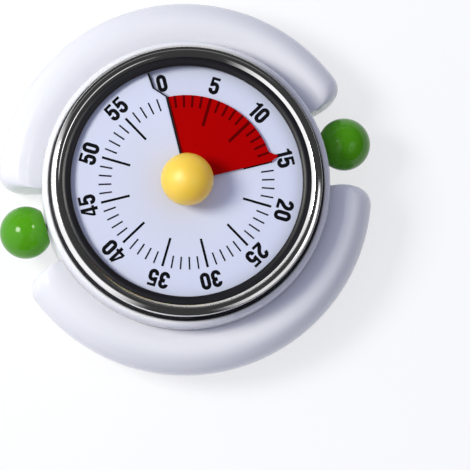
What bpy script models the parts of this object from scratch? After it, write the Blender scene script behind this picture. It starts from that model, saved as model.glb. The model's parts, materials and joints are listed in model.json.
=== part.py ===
"""A round wind-up kitchen timer with a red time disc that comes out from under the dial.

Lengths are in metres. The timer lies on its back: Z goes from the back cover to the dial,
Y points to the 0 mark and X to the 15 mark. The origin is the middle of the back face.
A dial angle is counted clockwise from the 0 mark, as the minutes are.
"""

import math

import bmesh
import bpy
from mathutils import Matrix, Vector

# Clearances
GAP = 0.0003
RUN = 0.0005

# Facets around large, medium and small round pieces
LARGE_FACETS = 40
MEDIUM_FACETS = 20
SMALL_FACETS = 8

# Back cover, its lip inside the drum, its screws, magnets and sound slots
COVER_THICKNESS = 0.0024
COVER_LIP_HEIGHT = 0.0014
COVER_LIP_WIDTH = 0.0006
COVER_EDGE_ROUND = 0.0008
COVER_SCREWS = 3
COVER_SCREW_ANGLE = 30.0
COVER_SCREW_LENGTH = 0.0080
COVER_SCREW_END_ROOM = 0.0010
MAGNET_RADIUS = 0.0050
MAGNET_THICKNESS = 0.0012
MAGNET_FROM_EDGE = 0.0156
MAGNET_ANGLE = 90.0
MAGNETS = 3
RECESS_BELOW_FACE = 0.0001
SLOTS = 6
SLOT_INNER = 0.0065
SLOT_LENGTH = 0.0075
SLOT_WIDTH = 0.0020

# Drum housing
DRUM_LEDGE = 0.0016
DRUM_WALL = 0.0022
DRUM_OPENING_CLEARANCE = 0.0015
SHOULDER_ROUND = 0.0015
BOSS_WALL = 0.0012
BOSS_IN_WALL = 0.00025
BOSS_CAP = 0.0006

# Screws
SCREW_RADIUS = 0.0011
SCREW_HEAD_RADIUS = 0.0021
SCREW_HEAD_HEIGHT = 0.0010
SCREW_SOCKET_RADIUS = 0.0010
SCREW_SOCKET_DEPTH = 0.0005
SIDE_SCREW_SEAT = 0.0004

# The two curved grips beside the drum
GRIP_WIDTH = 0.0117
GRIP_HALF_ANGLE = 75.0
GRIP_BACK = 0.0015
GRIP_WIDEST = 0.0115
GRIP_CREST_BELOW_DRUM = 0.0036
GRIP_CREST_INSET = 0.0060
GRIP_VALLEY_DEPTH = 0.0032
GRIP_END_ROUND_ANGLE = 6.0
GRIP_END_WIDTH_SHARE = 0.55
GRIP_END_HEIGHT_SHARE = 0.70
GRIP_END_VALLEY_SHARE = 0.80
GRIP_UNDERCUT_SHARE = 0.50
GRIP_STEPS = 9
GRIP_ROUND_STEPS = 3
GRIP_CREST_STEPS = 6
GRIP_SCREW_ANGLE = 45.0
GRIP_SCREW_HEIGHT = 0.0105
GRIP_SCREW_BITE = 0.0050

# The green balls beside the 15 and 45 marks, and the direction of the first, anticlockwise from +X
BALL_DIRECTION = 1.8
BALL_RADIUS = 0.00725
BALL_STAND_OFF = 0.0060
BALL_HEIGHT = 0.0130
BALL_SCREW_BITE = 0.0040
BALL_RINGS = 10

# Dial, time disc and the step between their turns
DIAL_RADIUS = 0.0328
DIAL_THICKNESS = 0.0005
DIAL_RISE = 0.0020
DIAL_STEPS = 48
SLIT_CLEARANCE = 0.0001
SLIT_JOG_WIDTH = 0.0028
SLIT_JOG_ANGLE = 4.5
DISC_RADIUS = 0.0240
DISC_THICKNESS = 0.0004
DISC_FLOOR_GAP = 0.00035
DISC_SET_ANGLE = 90.0
TAB_REACH = 0.0020
TAB_TIP_ANGLE = 2.0
TAB_TIP_SPREAD = 0.7

# Dial carrier
CARRIER_THICKNESS = 0.0010
SEAT_WIDTH = 0.0053
POST_WALL = 0.0008
POST_FROM_RIM = 0.0035
POST_LENGTH = 0.0030
POSTS = 3
POST_ANGLE = 60.0

# Black surround between dial and bezel
LIP_OVERLAP = 0.0013
LIP_CLEARANCE = 0.0004
LIP_THICKNESS = 0.0004
SURROUND_CLEARANCE = 0.0004
SURROUND_WALL = 0.0009
SURROUND_RISE = 0.0018

# Chrome bezel
BEZEL_WIDTH = 0.0036
BEZEL_SKIRT = 0.0008
BEZEL_FLANGE_HEIGHT = 0.0009
BEZEL_GROOVE = 0.0005
BEZEL_CREST_WIDTH = 0.0010
BEZEL_CREST_RISE = 0.0003
BEZEL_ROLL_STEPS = 5

# Knob, its insert and the hub that carries the disc
KNOB_RADIUS = 0.0072
KNOB_FOOT_INSET = 0.0012
KNOB_CLEARANCE = 0.0005
KNOB_RINGS = 11
HUB_WALL = 0.0022
HUB_CLEARANCE = 0.0010
INSERT_WALL = 0.0009
INSERT_LENGTH = 0.0058

# Movement plates and pillars
PLATE_THICKNESS = 0.0010
FRONT_PLATE_MARGIN = 0.0002
REAR_PLATE_MARGIN = 0.0041
PILLAR_RADIUS = 0.0015
PILLAR_STUD_RADIUS = 0.0007
PILLAR_CIRCLE = 0.0243
PILLAR_ANGLES = (108.0, 226.0, 335.0)
NUT_RADIUS = 0.0017
NUT_HEIGHT = 0.0008
ARBOR_RADIUS = 0.0015
PIVOT_RADIUS = 0.0010
THIN_ARBOR_RADIUS = 0.0007
THIN_PIVOT_RADIUS = 0.0004
BUSH_WALL = 0.0012
BUSH_FLANGE = 0.0008

# Bell
GONG_RADIUS = 0.0200
GONG_DEPTH = 0.0023
GONG_THICKNESS = 0.0006
GONG_X = 0.0060
GONG_Y = -0.0060
GONG_POST_RADIUS = 0.0018
GONG_SCREW_HEAD = 0.0008

# Spring and barrel
BARREL_RADIUS = 0.0120
BARREL_WALL = 0.0006
BARREL_DEPTH = 0.0048
SPRING_CORE_WALL = 0.0009
SPRING_THICKNESS = 0.0003
SPRING_TURNS = 4
SPRING_POINTS = 16

# Wheel train: teeth, modules, thicknesses and the direction from each arbor to the next
GREAT_TEETH = 48
SECOND_PINION_TEETH = 8
GREAT_MODULE = 0.00060
SECOND_TEETH = 42
THIRD_PINION_TEETH = 7
SECOND_MODULE = 0.00050
THIRD_TEETH = 40
ESCAPE_PINION_TEETH = 8
THIRD_MODULE = 0.00045
GREAT_THICKNESS = 0.0012
WHEEL_THICKNESS = 0.0009
PINION_EXTRA = 0.0004
SECOND_DIRECTION = 180.0
THIRD_DIRECTION = 72.0
ESCAPE_DIRECTION = 24.0
TOOTH_HEIGHT_SHARE = 0.90
TOOTH_DEPTH_SHARE = 1.20
TOOTH_TIP_SHARE = 0.22
TOOTH_ROOT_SHARE = 0.54

# Escapement
ESCAPE_TEETH = 15
ESCAPE_RADIUS = 0.0050
ESCAPE_ROOT = 0.0036
ESCAPE_TIP_WIDTH = 0.0003
ESCAPE_ROOT_WIDTH = 0.0009
PALLET_DISTANCE = 0.0072
PALLET_DIRECTION = 60.0
PALLET_PITCHES = 3.5
PALLET_CLEARANCE = 0.00025
PALLET_WIDTH = 0.0005
PALLET_LENGTH = 0.0013
PALLET_BOSS_RADIUS = 0.0013
PALLET_SHOULDER_SHARE = 0.6
PALLET_CROWN_SHARE = 0.5
PALLET_HEEL_SHARE = 1.6

# Click work
RATCHET_TEETH = 12
RATCHET_RADIUS = 0.0042
RATCHET_ROOT = 0.0034
CLICK_THICKNESS = 0.0008
CLICK_CIRCLE = 0.0085
CLICK_DIRECTION = 240.0
CLICK_LEAN = -38.0
CLICK_BOSS_RADIUS = 0.0014
CLICK_TIP_RADIUS = 0.0003
CLICK_PIN_RADIUS = 0.0006

# Strike work
CAM_RADIUS = 0.0048
CAM_NOTCH_DEPTH = 0.0012
CAM_NOTCH_ANGLE = 24.0
HAMMER_X = 0.0180
HAMMER_Y = 0.0060
HAMMER_BOSS_RADIUS = 0.0018
HAMMER_HEAD_RADIUS = 0.0015
HAMMER_HEAD_DIRECTION = -5.0
HAMMER_STRIKE_GAP = 0.0005
HAMMER_THICKNESS = 0.0010
TAIL_TIP_RADIUS = 0.0006
COIL_RADIUS = 0.0007
COIL_WIRE = 0.0002
COIL_TURNS = 7
COIL_LENGTH = 0.0070
COIL_TAIL_SHARE = 0.36
COIL_POINTS = 8

# Radii that follow from the sizes above
HUB_RADIUS = ARBOR_RADIUS + GAP + HUB_WALL
INSERT_RADIUS = ARBOR_RADIUS + GAP + INSERT_WALL
SPRING_CORE_RADIUS = ARBOR_RADIUS + SPRING_CORE_WALL
DIAL_HOLE = HUB_RADIUS + HUB_CLEARANCE
SLIT_STRAIGHT = DISC_RADIUS + SLIT_CLEARANCE
SLIT_JOG_END = SLIT_STRAIGHT + SLIT_JOG_WIDTH
SEAT_INNER = DIAL_RADIUS - SEAT_WIDTH
LIP_RADIUS = DIAL_RADIUS - LIP_OVERLAP
SURROUND_INNER = DIAL_RADIUS + SURROUND_CLEARANCE
SURROUND_RADIUS = SURROUND_INNER + SURROUND_WALL
BEZEL_INNER = SURROUND_RADIUS + GAP
BEZEL_RADIUS = BEZEL_INNER + BEZEL_WIDTH
CARRIER_RADIUS = BEZEL_RADIUS - BEZEL_SKIRT - GAP
DRUM_RADIUS = BEZEL_RADIUS + DRUM_LEDGE
DRUM_BORE = DRUM_RADIUS - DRUM_WALL
POST_RADIUS = SCREW_RADIUS + GAP + POST_WALL
POST_CIRCLE = DIAL_RADIUS - POST_FROM_RIM
DRUM_OPENING = POST_CIRCLE + POST_RADIUS + DRUM_OPENING_CLEARANCE
BOSS_RADIUS = SCREW_RADIUS + GAP + BOSS_WALL
COVER_SCREW_CIRCLE = DRUM_BORE - BOSS_RADIUS + BOSS_IN_WALL
COVER_LIP_RADIUS = DRUM_BORE - GAP
MAGNET_CIRCLE = DRUM_RADIUS - MAGNET_FROM_EDGE
GRIP_INNER = DRUM_RADIUS + GAP
GRIP_RADIUS = GRIP_INNER + GRIP_WIDTH
GRIP_CREST_RADIUS = GRIP_RADIUS - GRIP_CREST_INSET
BALL_CENTRE = DRUM_RADIUS + BALL_STAND_OFF
KNOB_FOOT_RADIUS = KNOB_RADIUS - KNOB_FOOT_INSET
FRONT_PLATE_RADIUS = POST_CIRCLE + SCREW_HEAD_RADIUS + FRONT_PLATE_MARGIN
REAR_PLATE_RADIUS = PILLAR_CIRCLE + REAR_PLATE_MARGIN

# Heights of the movement, from the back cover to the posts that carry it
COVER_SCREW_SEAT = RECESS_BELOW_FACE + SCREW_HEAD_HEIGHT
BOSS_BACK = COVER_THICKNESS + GAP
BOSS_BORE_FRONT = COVER_SCREW_SEAT + COVER_SCREW_LENGTH + COVER_SCREW_END_ROOM
GONG_BACK = COVER_THICKNESS + RUN + GONG_SCREW_HEAD + GAP
NUT_BACK = GONG_BACK + GONG_DEPTH + GAP
NUT_FRONT = NUT_BACK + NUT_HEIGHT
REAR_PLATE_BACK = NUT_FRONT + GAP
REAR_PLATE_FRONT = REAR_PLATE_BACK + PLATE_THICKNESS
CLICK_BACK = REAR_PLATE_FRONT + GAP
CLICK_FRONT = CLICK_BACK + CLICK_THICKNESS
GREAT_BACK = CLICK_FRONT + GAP
GREAT_FRONT = GREAT_BACK + GREAT_THICKNESS
SECOND_BACK = GREAT_FRONT + RUN
SECOND_FRONT = SECOND_BACK + WHEEL_THICKNESS
THIRD_BACK = SECOND_FRONT + RUN
THIRD_FRONT = THIRD_BACK + WHEEL_THICKNESS
BARREL_BACK = THIRD_FRONT + RUN
BARREL_FRONT = BARREL_BACK + BARREL_DEPTH
FRONT_PLATE_BACK = BARREL_FRONT + GAP
FRONT_PLATE_FRONT = FRONT_PLATE_BACK + PLATE_THICKNESS
POST_BACK = FRONT_PLATE_FRONT + GAP

# Heights of the case and of what shows in front
DRUM_FRONT = POST_BACK + POST_LENGTH
GRIP_CREST = DRUM_FRONT - GRIP_CREST_BELOW_DRUM
GRIP_INNER_TOP = GRIP_CREST - GRIP_VALLEY_DEPTH
CARRIER_BACK = DRUM_FRONT + GAP
CARRIER_FRONT = CARRIER_BACK + CARRIER_THICKNESS
DISC_ABOVE_DIAL = (DIAL_RISE + DIAL_THICKNESS - DISC_THICKNESS) / 2
DIAL_LOW = CARRIER_FRONT + DISC_FLOOR_GAP + DIAL_RISE - DISC_ABOVE_DIAL
DIAL_TOP = DIAL_LOW + DIAL_RISE + DIAL_THICKNESS
DISC_TOP = DIAL_LOW + DISC_ABOVE_DIAL + DIAL_RISE + DISC_THICKNESS
LIP_BACK = DIAL_TOP + LIP_CLEARANCE
SURROUND_FRONT = LIP_BACK + SURROUND_RISE
KNOB_BACK = DISC_TOP + KNOB_CLEARANCE
KNOB_CENTRE = KNOB_BACK + math.sqrt(KNOB_RADIUS ** 2 - KNOB_FOOT_RADIUS ** 2)
INSERT_BACK = KNOB_BACK + GAP
INSERT_FRONT = INSERT_BACK + INSERT_LENGTH
HUB_BACK = CARRIER_FRONT + GAP
HUB_FRONT = KNOB_BACK - GAP


def along(start, direction, distance):
    """The point at a distance from start, the direction in degrees counted from +X."""
    turn = math.radians(direction)
    return Vector((start[0] + distance * math.cos(turn), start[1] + distance * math.sin(turn)))


MAIN = Vector((0.0, 0.0))
SECOND = along(MAIN, SECOND_DIRECTION, GREAT_MODULE * (GREAT_TEETH + SECOND_PINION_TEETH) / 2)
THIRD = along(SECOND, THIRD_DIRECTION, SECOND_MODULE * (SECOND_TEETH + THIRD_PINION_TEETH) / 2)
ESCAPE = along(THIRD, ESCAPE_DIRECTION, THIRD_MODULE * (THIRD_TEETH + ESCAPE_PINION_TEETH) / 2)
PALLET = along(ESCAPE, PALLET_DIRECTION, PALLET_DISTANCE)
HAMMER = Vector((HAMMER_X, HAMMER_Y))
TAIL_REACH = HAMMER.length - CAM_RADIUS - GAP - TAIL_TIP_RADIUS
TO_MAIN = (MAIN - HAMMER).normalized()
GONG = Vector((GONG_X, GONG_Y))
CLICK = along(MAIN, CLICK_DIRECTION, CLICK_CIRCLE)


# Materials


def material(name, colour, roughness, metallic=0.0):
    """A Principled material of one colour."""
    made = bpy.data.materials.new(name)
    made.use_nodes = True
    shader = made.node_tree.nodes["Principled BSDF"]
    shader.inputs["Base Color"].default_value = (*colour, 1.0)
    shader.inputs["Roughness"].default_value = roughness
    shader.inputs["Metallic"].default_value = metallic
    made.diffuse_color = (*colour, 1.0)
    return made


def white_plastic():
    return material("white_plastic", (0.88, 0.88, 0.91), 0.18)


def black_plastic():
    return material("black_plastic", (0.012, 0.012, 0.016), 0.30)


def dial_white():
    return material("dial_white", (0.66, 0.68, 0.82), 0.45)


def time_red():
    return material("time_red", (0.42, 0.002, 0.002), 0.40)


def knob_yellow():
    return material("knob_yellow", (0.86, 0.60, 0.13), 0.30)


def ball_green():
    return material("ball_green", (0.07, 0.30, 0.01), 0.20)


def chrome():
    return material("chrome", (0.80, 0.80, 0.82), 0.08, 1.0)


def brass():
    return material("brass", (0.78, 0.58, 0.26), 0.30, 1.0)


def steel():
    return material("steel", (0.56, 0.57, 0.60), 0.32, 1.0)


def nickel():
    return material("nickel", (0.66, 0.65, 0.62), 0.22, 1.0)


# Building blocks


def shown(mesh_data, name, paint):
    """Turn a bmesh into a smooth-shaded object with its faces pointing out."""
    bmesh.ops.recalc_face_normals(mesh_data, faces=mesh_data.faces)
    mesh = bpy.data.meshes.new(name)
    mesh_data.to_mesh(mesh)
    mesh_data.free()
    mesh.shade_smooth()
    mesh.set_sharp_from_angle(angle=math.radians(32))
    made = bpy.data.objects.new(name, mesh)
    bpy.context.collection.objects.link(made)
    if paint:
        mesh.materials.append(paint)
    return made


def turned(profile, facets, centre=(0.0, 0.0)):
    """A bmesh turned about a vertical axis from a profile of (radius, height) points.

    A profile that starts and ends on the axis stays open there; any other is a closed loop.
    """
    body = bmesh.new()
    points = [body.verts.new((radius, 0.0, height)) for radius, height in profile]
    edges = [body.edges.new(pair) for pair in zip(points, points[1:])]
    if profile[0][0] > 0:
        edges.append(body.edges.new((points[-1], points[0])))
    bmesh.ops.spin(
        body,
        geom=points + edges,
        cent=(0, 0, 0),
        axis=(0, 0, 1),
        angle=math.tau,
        steps=facets,
        use_merge=True,
    )
    bmesh.ops.remove_doubles(body, verts=body.verts, dist=1e-7)
    bmesh.ops.translate(body, verts=body.verts, vec=(centre[0], centre[1], 0.0))
    return body


def circle(centre, radius, facets, start=0.0):
    """Points round a circle, counter-clockwise."""
    turns = [math.tau * step / facets + math.radians(start) for step in range(facets)]
    return [
        (centre[0] + radius * math.cos(turn), centre[1] + radius * math.sin(turn)) for turn in turns
    ]


def sheet(outline, holes, back, front):
    """A flat piece cut along an outline, with holes, from back to front."""
    body = bmesh.new()
    edges = []
    for loop in [outline] + holes:
        points = [body.verts.new((x, y, back)) for x, y in loop]
        edges += [body.edges.new(pair) for pair in zip(points, points[1:] + points[:1])]
    bmesh.ops.triangle_fill(body, use_beauty=True, edges=edges, normal=(0, 0, 1))
    grown = bmesh.ops.extrude_face_region(body, geom=list(body.faces))
    moved = [item for item in grown["geom"] if isinstance(item, bmesh.types.BMVert)]
    bmesh.ops.translate(body, verts=moved, vec=(0, 0, front - back))
    return body


def rod(centre, radius, back, front, facets=SMALL_FACETS):
    """A plain round rod."""
    return turned([(0, back), (radius, back), (radius, front), (0, front)], facets, centre)


def tube(inner, outer, back, front, facets):
    """A plain ring about the main axis."""
    return turned([(inner, back), (outer, back), (outer, front), (inner, front)], facets)


def gathered(pieces):
    """Several separate bodies in one bmesh."""
    whole = bmesh.new()
    for piece in pieces:
        mesh = bpy.data.meshes.new("gathered")
        piece.to_mesh(mesh)
        piece.free()
        whole.from_mesh(mesh)
        bpy.data.meshes.remove(mesh)
    return whole


def combine(target, tool_shape, name, operation):
    """Join a shape to an object, or cut it out, with a Boolean modifier."""
    tool = shown(tool_shape, name, None)
    tool.hide_render = True
    tool.display_type = "WIRE"
    step = target.modifiers.new(name, "BOOLEAN")
    step.operation = operation
    step.solver = "EXACT"
    step.object = tool


def lever_outline(start, start_radius, end, end_radius, facets=SMALL_FACETS):
    """The outline round two circles and the straight sides between them."""
    start = Vector(start)
    end = Vector(end)
    run = end - start
    heading = math.atan2(run.y, run.x)
    lean = math.acos((start_radius - end_radius) / run.length)
    points = []
    for step in range(facets + 1):
        turn = heading - lean + 2 * lean * step / facets
        points.append((end.x + end_radius * math.cos(turn), end.y + end_radius * math.sin(turn)))
    for step in range(facets + 1):
        turn = heading + lean + (math.tau - 2 * lean) * step / facets
        points.append(
            (start.x + start_radius * math.cos(turn), start.y + start_radius * math.sin(turn))
        )
    return points


def gear_outline(centre, teeth, module, tooth_at):
    """A wheel's outline, with the middle of one tooth at the angle tooth_at in degrees."""
    pitch_angle = math.tau / teeth
    root = module * (teeth / 2 - TOOTH_DEPTH_SHARE)
    tip = module * (teeth / 2 + TOOTH_HEIGHT_SHARE)
    pitch_length = math.pi * module
    half_tip = TOOTH_TIP_SHARE * pitch_length / 2 / tip
    half_root = TOOTH_ROOT_SHARE * pitch_length / 2 / root
    points = []
    for tooth in range(teeth):
        middle = math.radians(tooth_at) + tooth * pitch_angle
        for radius, turn in (
            (root, middle - half_root),
            (tip, middle - half_tip),
            (tip, middle + half_tip),
            (root, middle + half_root),
        ):
            points.append((centre[0] + radius * math.cos(turn), centre[1] + radius * math.sin(turn)))
    return points


def facing_tooth(direction, teeth):
    """The tooth angle that puts a gap of a pinion where its driver's tooth comes in."""
    return direction + 180.0 + 180.0 / teeth


def screw(length, head_up=True):
    """A socket-head screw on the axis: its head's seat is at height 0, its shank points down."""
    shank_end = -length
    profile = [
        (0, shank_end),
        (SCREW_RADIUS, shank_end),
        (SCREW_RADIUS, 0),
        (SCREW_HEAD_RADIUS, 0),
        (SCREW_HEAD_RADIUS, SCREW_HEAD_HEIGHT),
        (SCREW_SOCKET_RADIUS, SCREW_HEAD_HEIGHT),
        (SCREW_SOCKET_RADIUS, SCREW_HEAD_HEIGHT - SCREW_SOCKET_DEPTH),
        (0, SCREW_HEAD_HEIGHT - SCREW_SOCKET_DEPTH),
    ]
    body = turned(profile, SMALL_FACETS)
    if not head_up:
        bmesh.ops.rotate(
            body, verts=body.verts, cent=(0, 0, 0), matrix=Matrix.Rotation(math.pi, 3, "X")
        )
    return body


def placed(body, x, y, z):
    """Move a bmesh and give it back."""
    bmesh.ops.translate(body, verts=body.verts, vec=(x, y, z))
    return body


def pointed(body, direction, radius, height):
    """Lay a vertical bmesh along a radius: its top points to the axis, its foot outwards."""
    bmesh.ops.rotate(
        body, verts=body.verts, cent=(0, 0, 0), matrix=Matrix.Rotation(-math.pi / 2, 3, "Y")
    )
    bmesh.ops.translate(body, verts=body.verts, vec=(radius, 0, height))
    bmesh.ops.rotate(
        body,
        verts=body.verts,
        cent=(0, 0, 0),
        matrix=Matrix.Rotation(math.radians(direction), 3, "Z"),
    )
    return body


def round_places(count, start):
    """The directions of equally spaced pieces, in degrees from +X."""
    return [start + 360.0 * step / count for step in range(count)]


# Housing


BALL_PLACES = (BALL_DIRECTION, BALL_DIRECTION + 180.0)
GRIP_MIDDLES = (BALL_DIRECTION + 90.0, BALL_DIRECTION + 270.0)
GRIP_SCREW_PLACES = tuple(
    middle + side * GRIP_SCREW_ANGLE for middle in GRIP_MIDDLES for side in (-1, 1)
)


def drum_housing():
    """The white drum: a wall with a rounded front shoulder and an inner flange."""
    flange_back = DRUM_FRONT - DRUM_WALL
    corner = SHOULDER_ROUND * (1 - math.sqrt(0.5))
    profile = [
        (DRUM_BORE, BOSS_BACK),
        (DRUM_RADIUS, BOSS_BACK),
        (DRUM_RADIUS, DRUM_FRONT - SHOULDER_ROUND),
        (DRUM_RADIUS - corner, DRUM_FRONT - corner),
        (DRUM_RADIUS - SHOULDER_ROUND, DRUM_FRONT),
        (DRUM_OPENING, DRUM_FRONT),
        (DRUM_OPENING, flange_back),
        (DRUM_BORE, flange_back),
    ]
    drum = shown(turned(profile, LARGE_FACETS), "drum_housing", white_plastic())
    bosses = []
    bores = []
    lip_front = COVER_THICKNESS + COVER_LIP_HEIGHT + GAP
    for direction in round_places(COVER_SCREWS, COVER_SCREW_ANGLE):
        place = along(MAIN, direction, COVER_SCREW_CIRCLE)
        bosses.append(rod(place, BOSS_RADIUS, lip_front, BOSS_BORE_FRONT + BOSS_CAP))
        bores.append(rod(place, SCREW_RADIUS + GAP, BOSS_BACK, BOSS_BORE_FRONT))
    for direction in GRIP_SCREW_PLACES:
        hole = rod(MAIN, SCREW_RADIUS + GAP, -DRUM_WALL, DRUM_WALL)
        bores.append(pointed(hole, direction, DRUM_RADIUS - DRUM_WALL / 2, GRIP_SCREW_HEIGHT))
    for direction in BALL_PLACES:
        hole = rod(MAIN, SCREW_RADIUS + GAP, -DRUM_WALL, DRUM_WALL)
        bores.append(pointed(hole, direction, DRUM_RADIUS - DRUM_WALL / 2, BALL_HEIGHT))
    combine(drum, gathered(bosses), "drum_bosses", "UNION")
    combine(drum, gathered(bores), "drum_bores", "DIFFERENCE")


def slot_outline(direction):
    """A round-ended slot along a radius."""
    start = along(MAIN, direction, SLOT_INNER)
    end = along(MAIN, direction, SLOT_INNER + SLOT_LENGTH)
    return lever_outline(start, SLOT_WIDTH / 2, end, SLOT_WIDTH / 2, 4)


def back_cover():
    """The flat back cover, with a lip that fits inside the drum."""
    profile = [
        (0, 0),
        (DRUM_RADIUS - COVER_EDGE_ROUND, 0),
        (DRUM_RADIUS, COVER_EDGE_ROUND),
        (DRUM_RADIUS, COVER_THICKNESS),
        (COVER_LIP_RADIUS, COVER_THICKNESS),
        (COVER_LIP_RADIUS, COVER_THICKNESS + COVER_LIP_HEIGHT),
        (COVER_LIP_RADIUS - COVER_LIP_WIDTH, COVER_THICKNESS + COVER_LIP_HEIGHT),
        (COVER_LIP_RADIUS - COVER_LIP_WIDTH, COVER_THICKNESS),
        (0, COVER_THICKNESS),
    ]
    cover = shown(turned(profile, LARGE_FACETS), "back_cover", white_plastic())
    beyond = -COVER_THICKNESS
    through = 2 * COVER_THICKNESS
    head_recess = COVER_SCREW_SEAT + GAP
    magnet_recess = RECESS_BELOW_FACE + MAGNET_THICKNESS + GAP
    cuts = []
    for direction in round_places(COVER_SCREWS, COVER_SCREW_ANGLE):
        place = along(MAIN, direction, COVER_SCREW_CIRCLE)
        shank = SCREW_RADIUS + GAP
        head = SCREW_HEAD_RADIUS + GAP
        profile = [(0, beyond), (head, beyond), (head, head_recess), (shank, head_recess)]
        profile += [(shank, through), (0, through)]
        cuts.append(turned(profile, SMALL_FACETS, place))
    for direction in round_places(MAGNETS, MAGNET_ANGLE):
        place = along(MAIN, direction, MAGNET_CIRCLE)
        cuts.append(rod(place, MAGNET_RADIUS + GAP, beyond, magnet_recess, MEDIUM_FACETS))
    for direction in round_places(SLOTS, 0.0):
        cuts.append(sheet(slot_outline(direction), [], beyond, through))
    combine(cover, gathered(cuts), "cover_cuts", "DIFFERENCE")


def cover_screws():
    """The screws that hold the back cover to the drum's bosses."""
    for number, direction in enumerate(round_places(COVER_SCREWS, COVER_SCREW_ANGLE), 1):
        place = along(MAIN, direction, COVER_SCREW_CIRCLE)
        body = screw(COVER_SCREW_LENGTH, head_up=False)
        placed(body, place.x, place.y, COVER_SCREW_SEAT)
        shown(body, f"cover_screw_{number}", steel())


def back_magnets():
    """Round magnets let into the back cover."""
    for number, direction in enumerate(round_places(MAGNETS, MAGNET_ANGLE), 1):
        place = along(MAIN, direction, MAGNET_CIRCLE)
        front = RECESS_BELOW_FACE + MAGNET_THICKNESS
        body = rod(place, MAGNET_RADIUS, RECESS_BELOW_FACE, front, MEDIUM_FACETS)
        shown(body, f"back_magnet_{number}", nickel())


def grip_section(width_share):
    """A grip's cross-section as (radius, height) points, narrowed towards its ends."""
    outer = GRIP_INNER + (GRIP_RADIUS - GRIP_INNER) * width_share
    crest = GRIP_INNER + (GRIP_CREST_RADIUS - GRIP_INNER) * width_share
    height_share = GRIP_END_HEIGHT_SHARE + (1 - GRIP_END_HEIGHT_SHARE) * width_share
    valley_share = GRIP_END_VALLEY_SHARE + (1 - GRIP_END_VALLEY_SHARE) * width_share
    top = GRIP_WIDEST + (GRIP_CREST - GRIP_WIDEST) * height_share
    valley = GRIP_WIDEST + (GRIP_INNER_TOP - GRIP_WIDEST) * valley_share
    points = [(GRIP_INNER, GRIP_BACK), (GRIP_INNER, valley)]
    for step in range(1, GRIP_ROUND_STEPS):
        share = step / GRIP_ROUND_STEPS
        rise = math.sin(share * math.pi / 2)
        points.append((GRIP_INNER + (crest - GRIP_INNER) * share, valley + (top - valley) * rise))
    for step in range(GRIP_CREST_STEPS + 1):
        turn = math.pi / 2 * step / GRIP_CREST_STEPS
        radius = crest + (outer - crest) * math.sin(turn)
        points.append((radius, GRIP_WIDEST + (top - GRIP_WIDEST) * math.cos(turn)))
    for step in range(1, GRIP_ROUND_STEPS + 1):
        turn = math.pi / 2 * step / GRIP_ROUND_STEPS
        radius = outer - (outer - crest) * GRIP_UNDERCUT_SHARE * (1 - math.cos(turn))
        points.append((radius, GRIP_WIDEST - (GRIP_WIDEST - GRIP_BACK) * math.sin(turn)))
    return points


def grip_body(middle):
    """One curved grip about the direction middle, with rounded ends."""
    body = bmesh.new()
    plain = GRIP_HALF_ANGLE - GRIP_END_ROUND_ANGLE
    angles = [plain * step / GRIP_STEPS for step in range(GRIP_STEPS + 1)]
    shares = [1.0] * (GRIP_STEPS + 1)
    for step in range(1, GRIP_ROUND_STEPS + 1):
        turn = math.pi / 2 * step / GRIP_ROUND_STEPS
        angles.append(plain + GRIP_END_ROUND_ANGLE * math.sin(turn))
        shares.append(GRIP_END_WIDTH_SHARE + (1 - GRIP_END_WIDTH_SHARE) * math.cos(turn))
    places = [(-angle, share) for angle, share in zip(angles, shares)][:0:-1]
    places += list(zip(angles, shares))
    rings = []
    for angle, share in places:
        turn = math.radians(middle + angle)
        ring = [
            body.verts.new((radius * math.cos(turn), radius * math.sin(turn), height))
            for radius, height in grip_section(share)
        ]
        rings.append(ring)
    for ring, following in zip(rings, rings[1:]):
        for corner in range(len(ring)):
            nearby = (corner + 1) % len(ring)
            body.faces.new((ring[corner], ring[nearby], following[nearby], following[corner]))
    body.faces.new(rings[0])
    body.faces.new(rings[-1])
    return body


def grips():
    """The upper and lower grip, each bored for its two screws."""
    for name, middle in zip(("upper_grip_arc", "lower_grip_arc"), GRIP_MIDDLES):
        grip = shown(grip_body(middle), name, white_plastic())
        bores = []
        for direction in (middle - GRIP_SCREW_ANGLE, middle + GRIP_SCREW_ANGLE):
            depth = GRIP_SCREW_BITE + GAP
            hole = rod(MAIN, SCREW_RADIUS + GAP, -depth, DRUM_WALL)
            bores.append(pointed(hole, direction, DRUM_RADIUS, GRIP_SCREW_HEIGHT))
        combine(grip, gathered(bores), f"{name}_bores", "DIFFERENCE")


def side_screw(direction, height, bite):
    """A screw from inside the drum outwards, with its head against the inner wall."""
    seat = DRUM_BORE - SIDE_SCREW_SEAT
    length = DRUM_RADIUS + bite - seat
    return pointed(screw(length), direction, seat, height)


def side_screws():
    """The screws that hold the grips and the balls to the drum."""
    for number, direction in enumerate(GRIP_SCREW_PLACES, 1):
        body = side_screw(direction, GRIP_SCREW_HEIGHT, GRIP_SCREW_BITE)
        shown(body, f"grip_screw_{number}", steel())
    for side, direction in zip(("right", "left"), BALL_PLACES):
        body = side_screw(direction, BALL_HEIGHT, BALL_SCREW_BITE)
        shown(body, f"{side}_ball_screw", steel())


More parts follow.
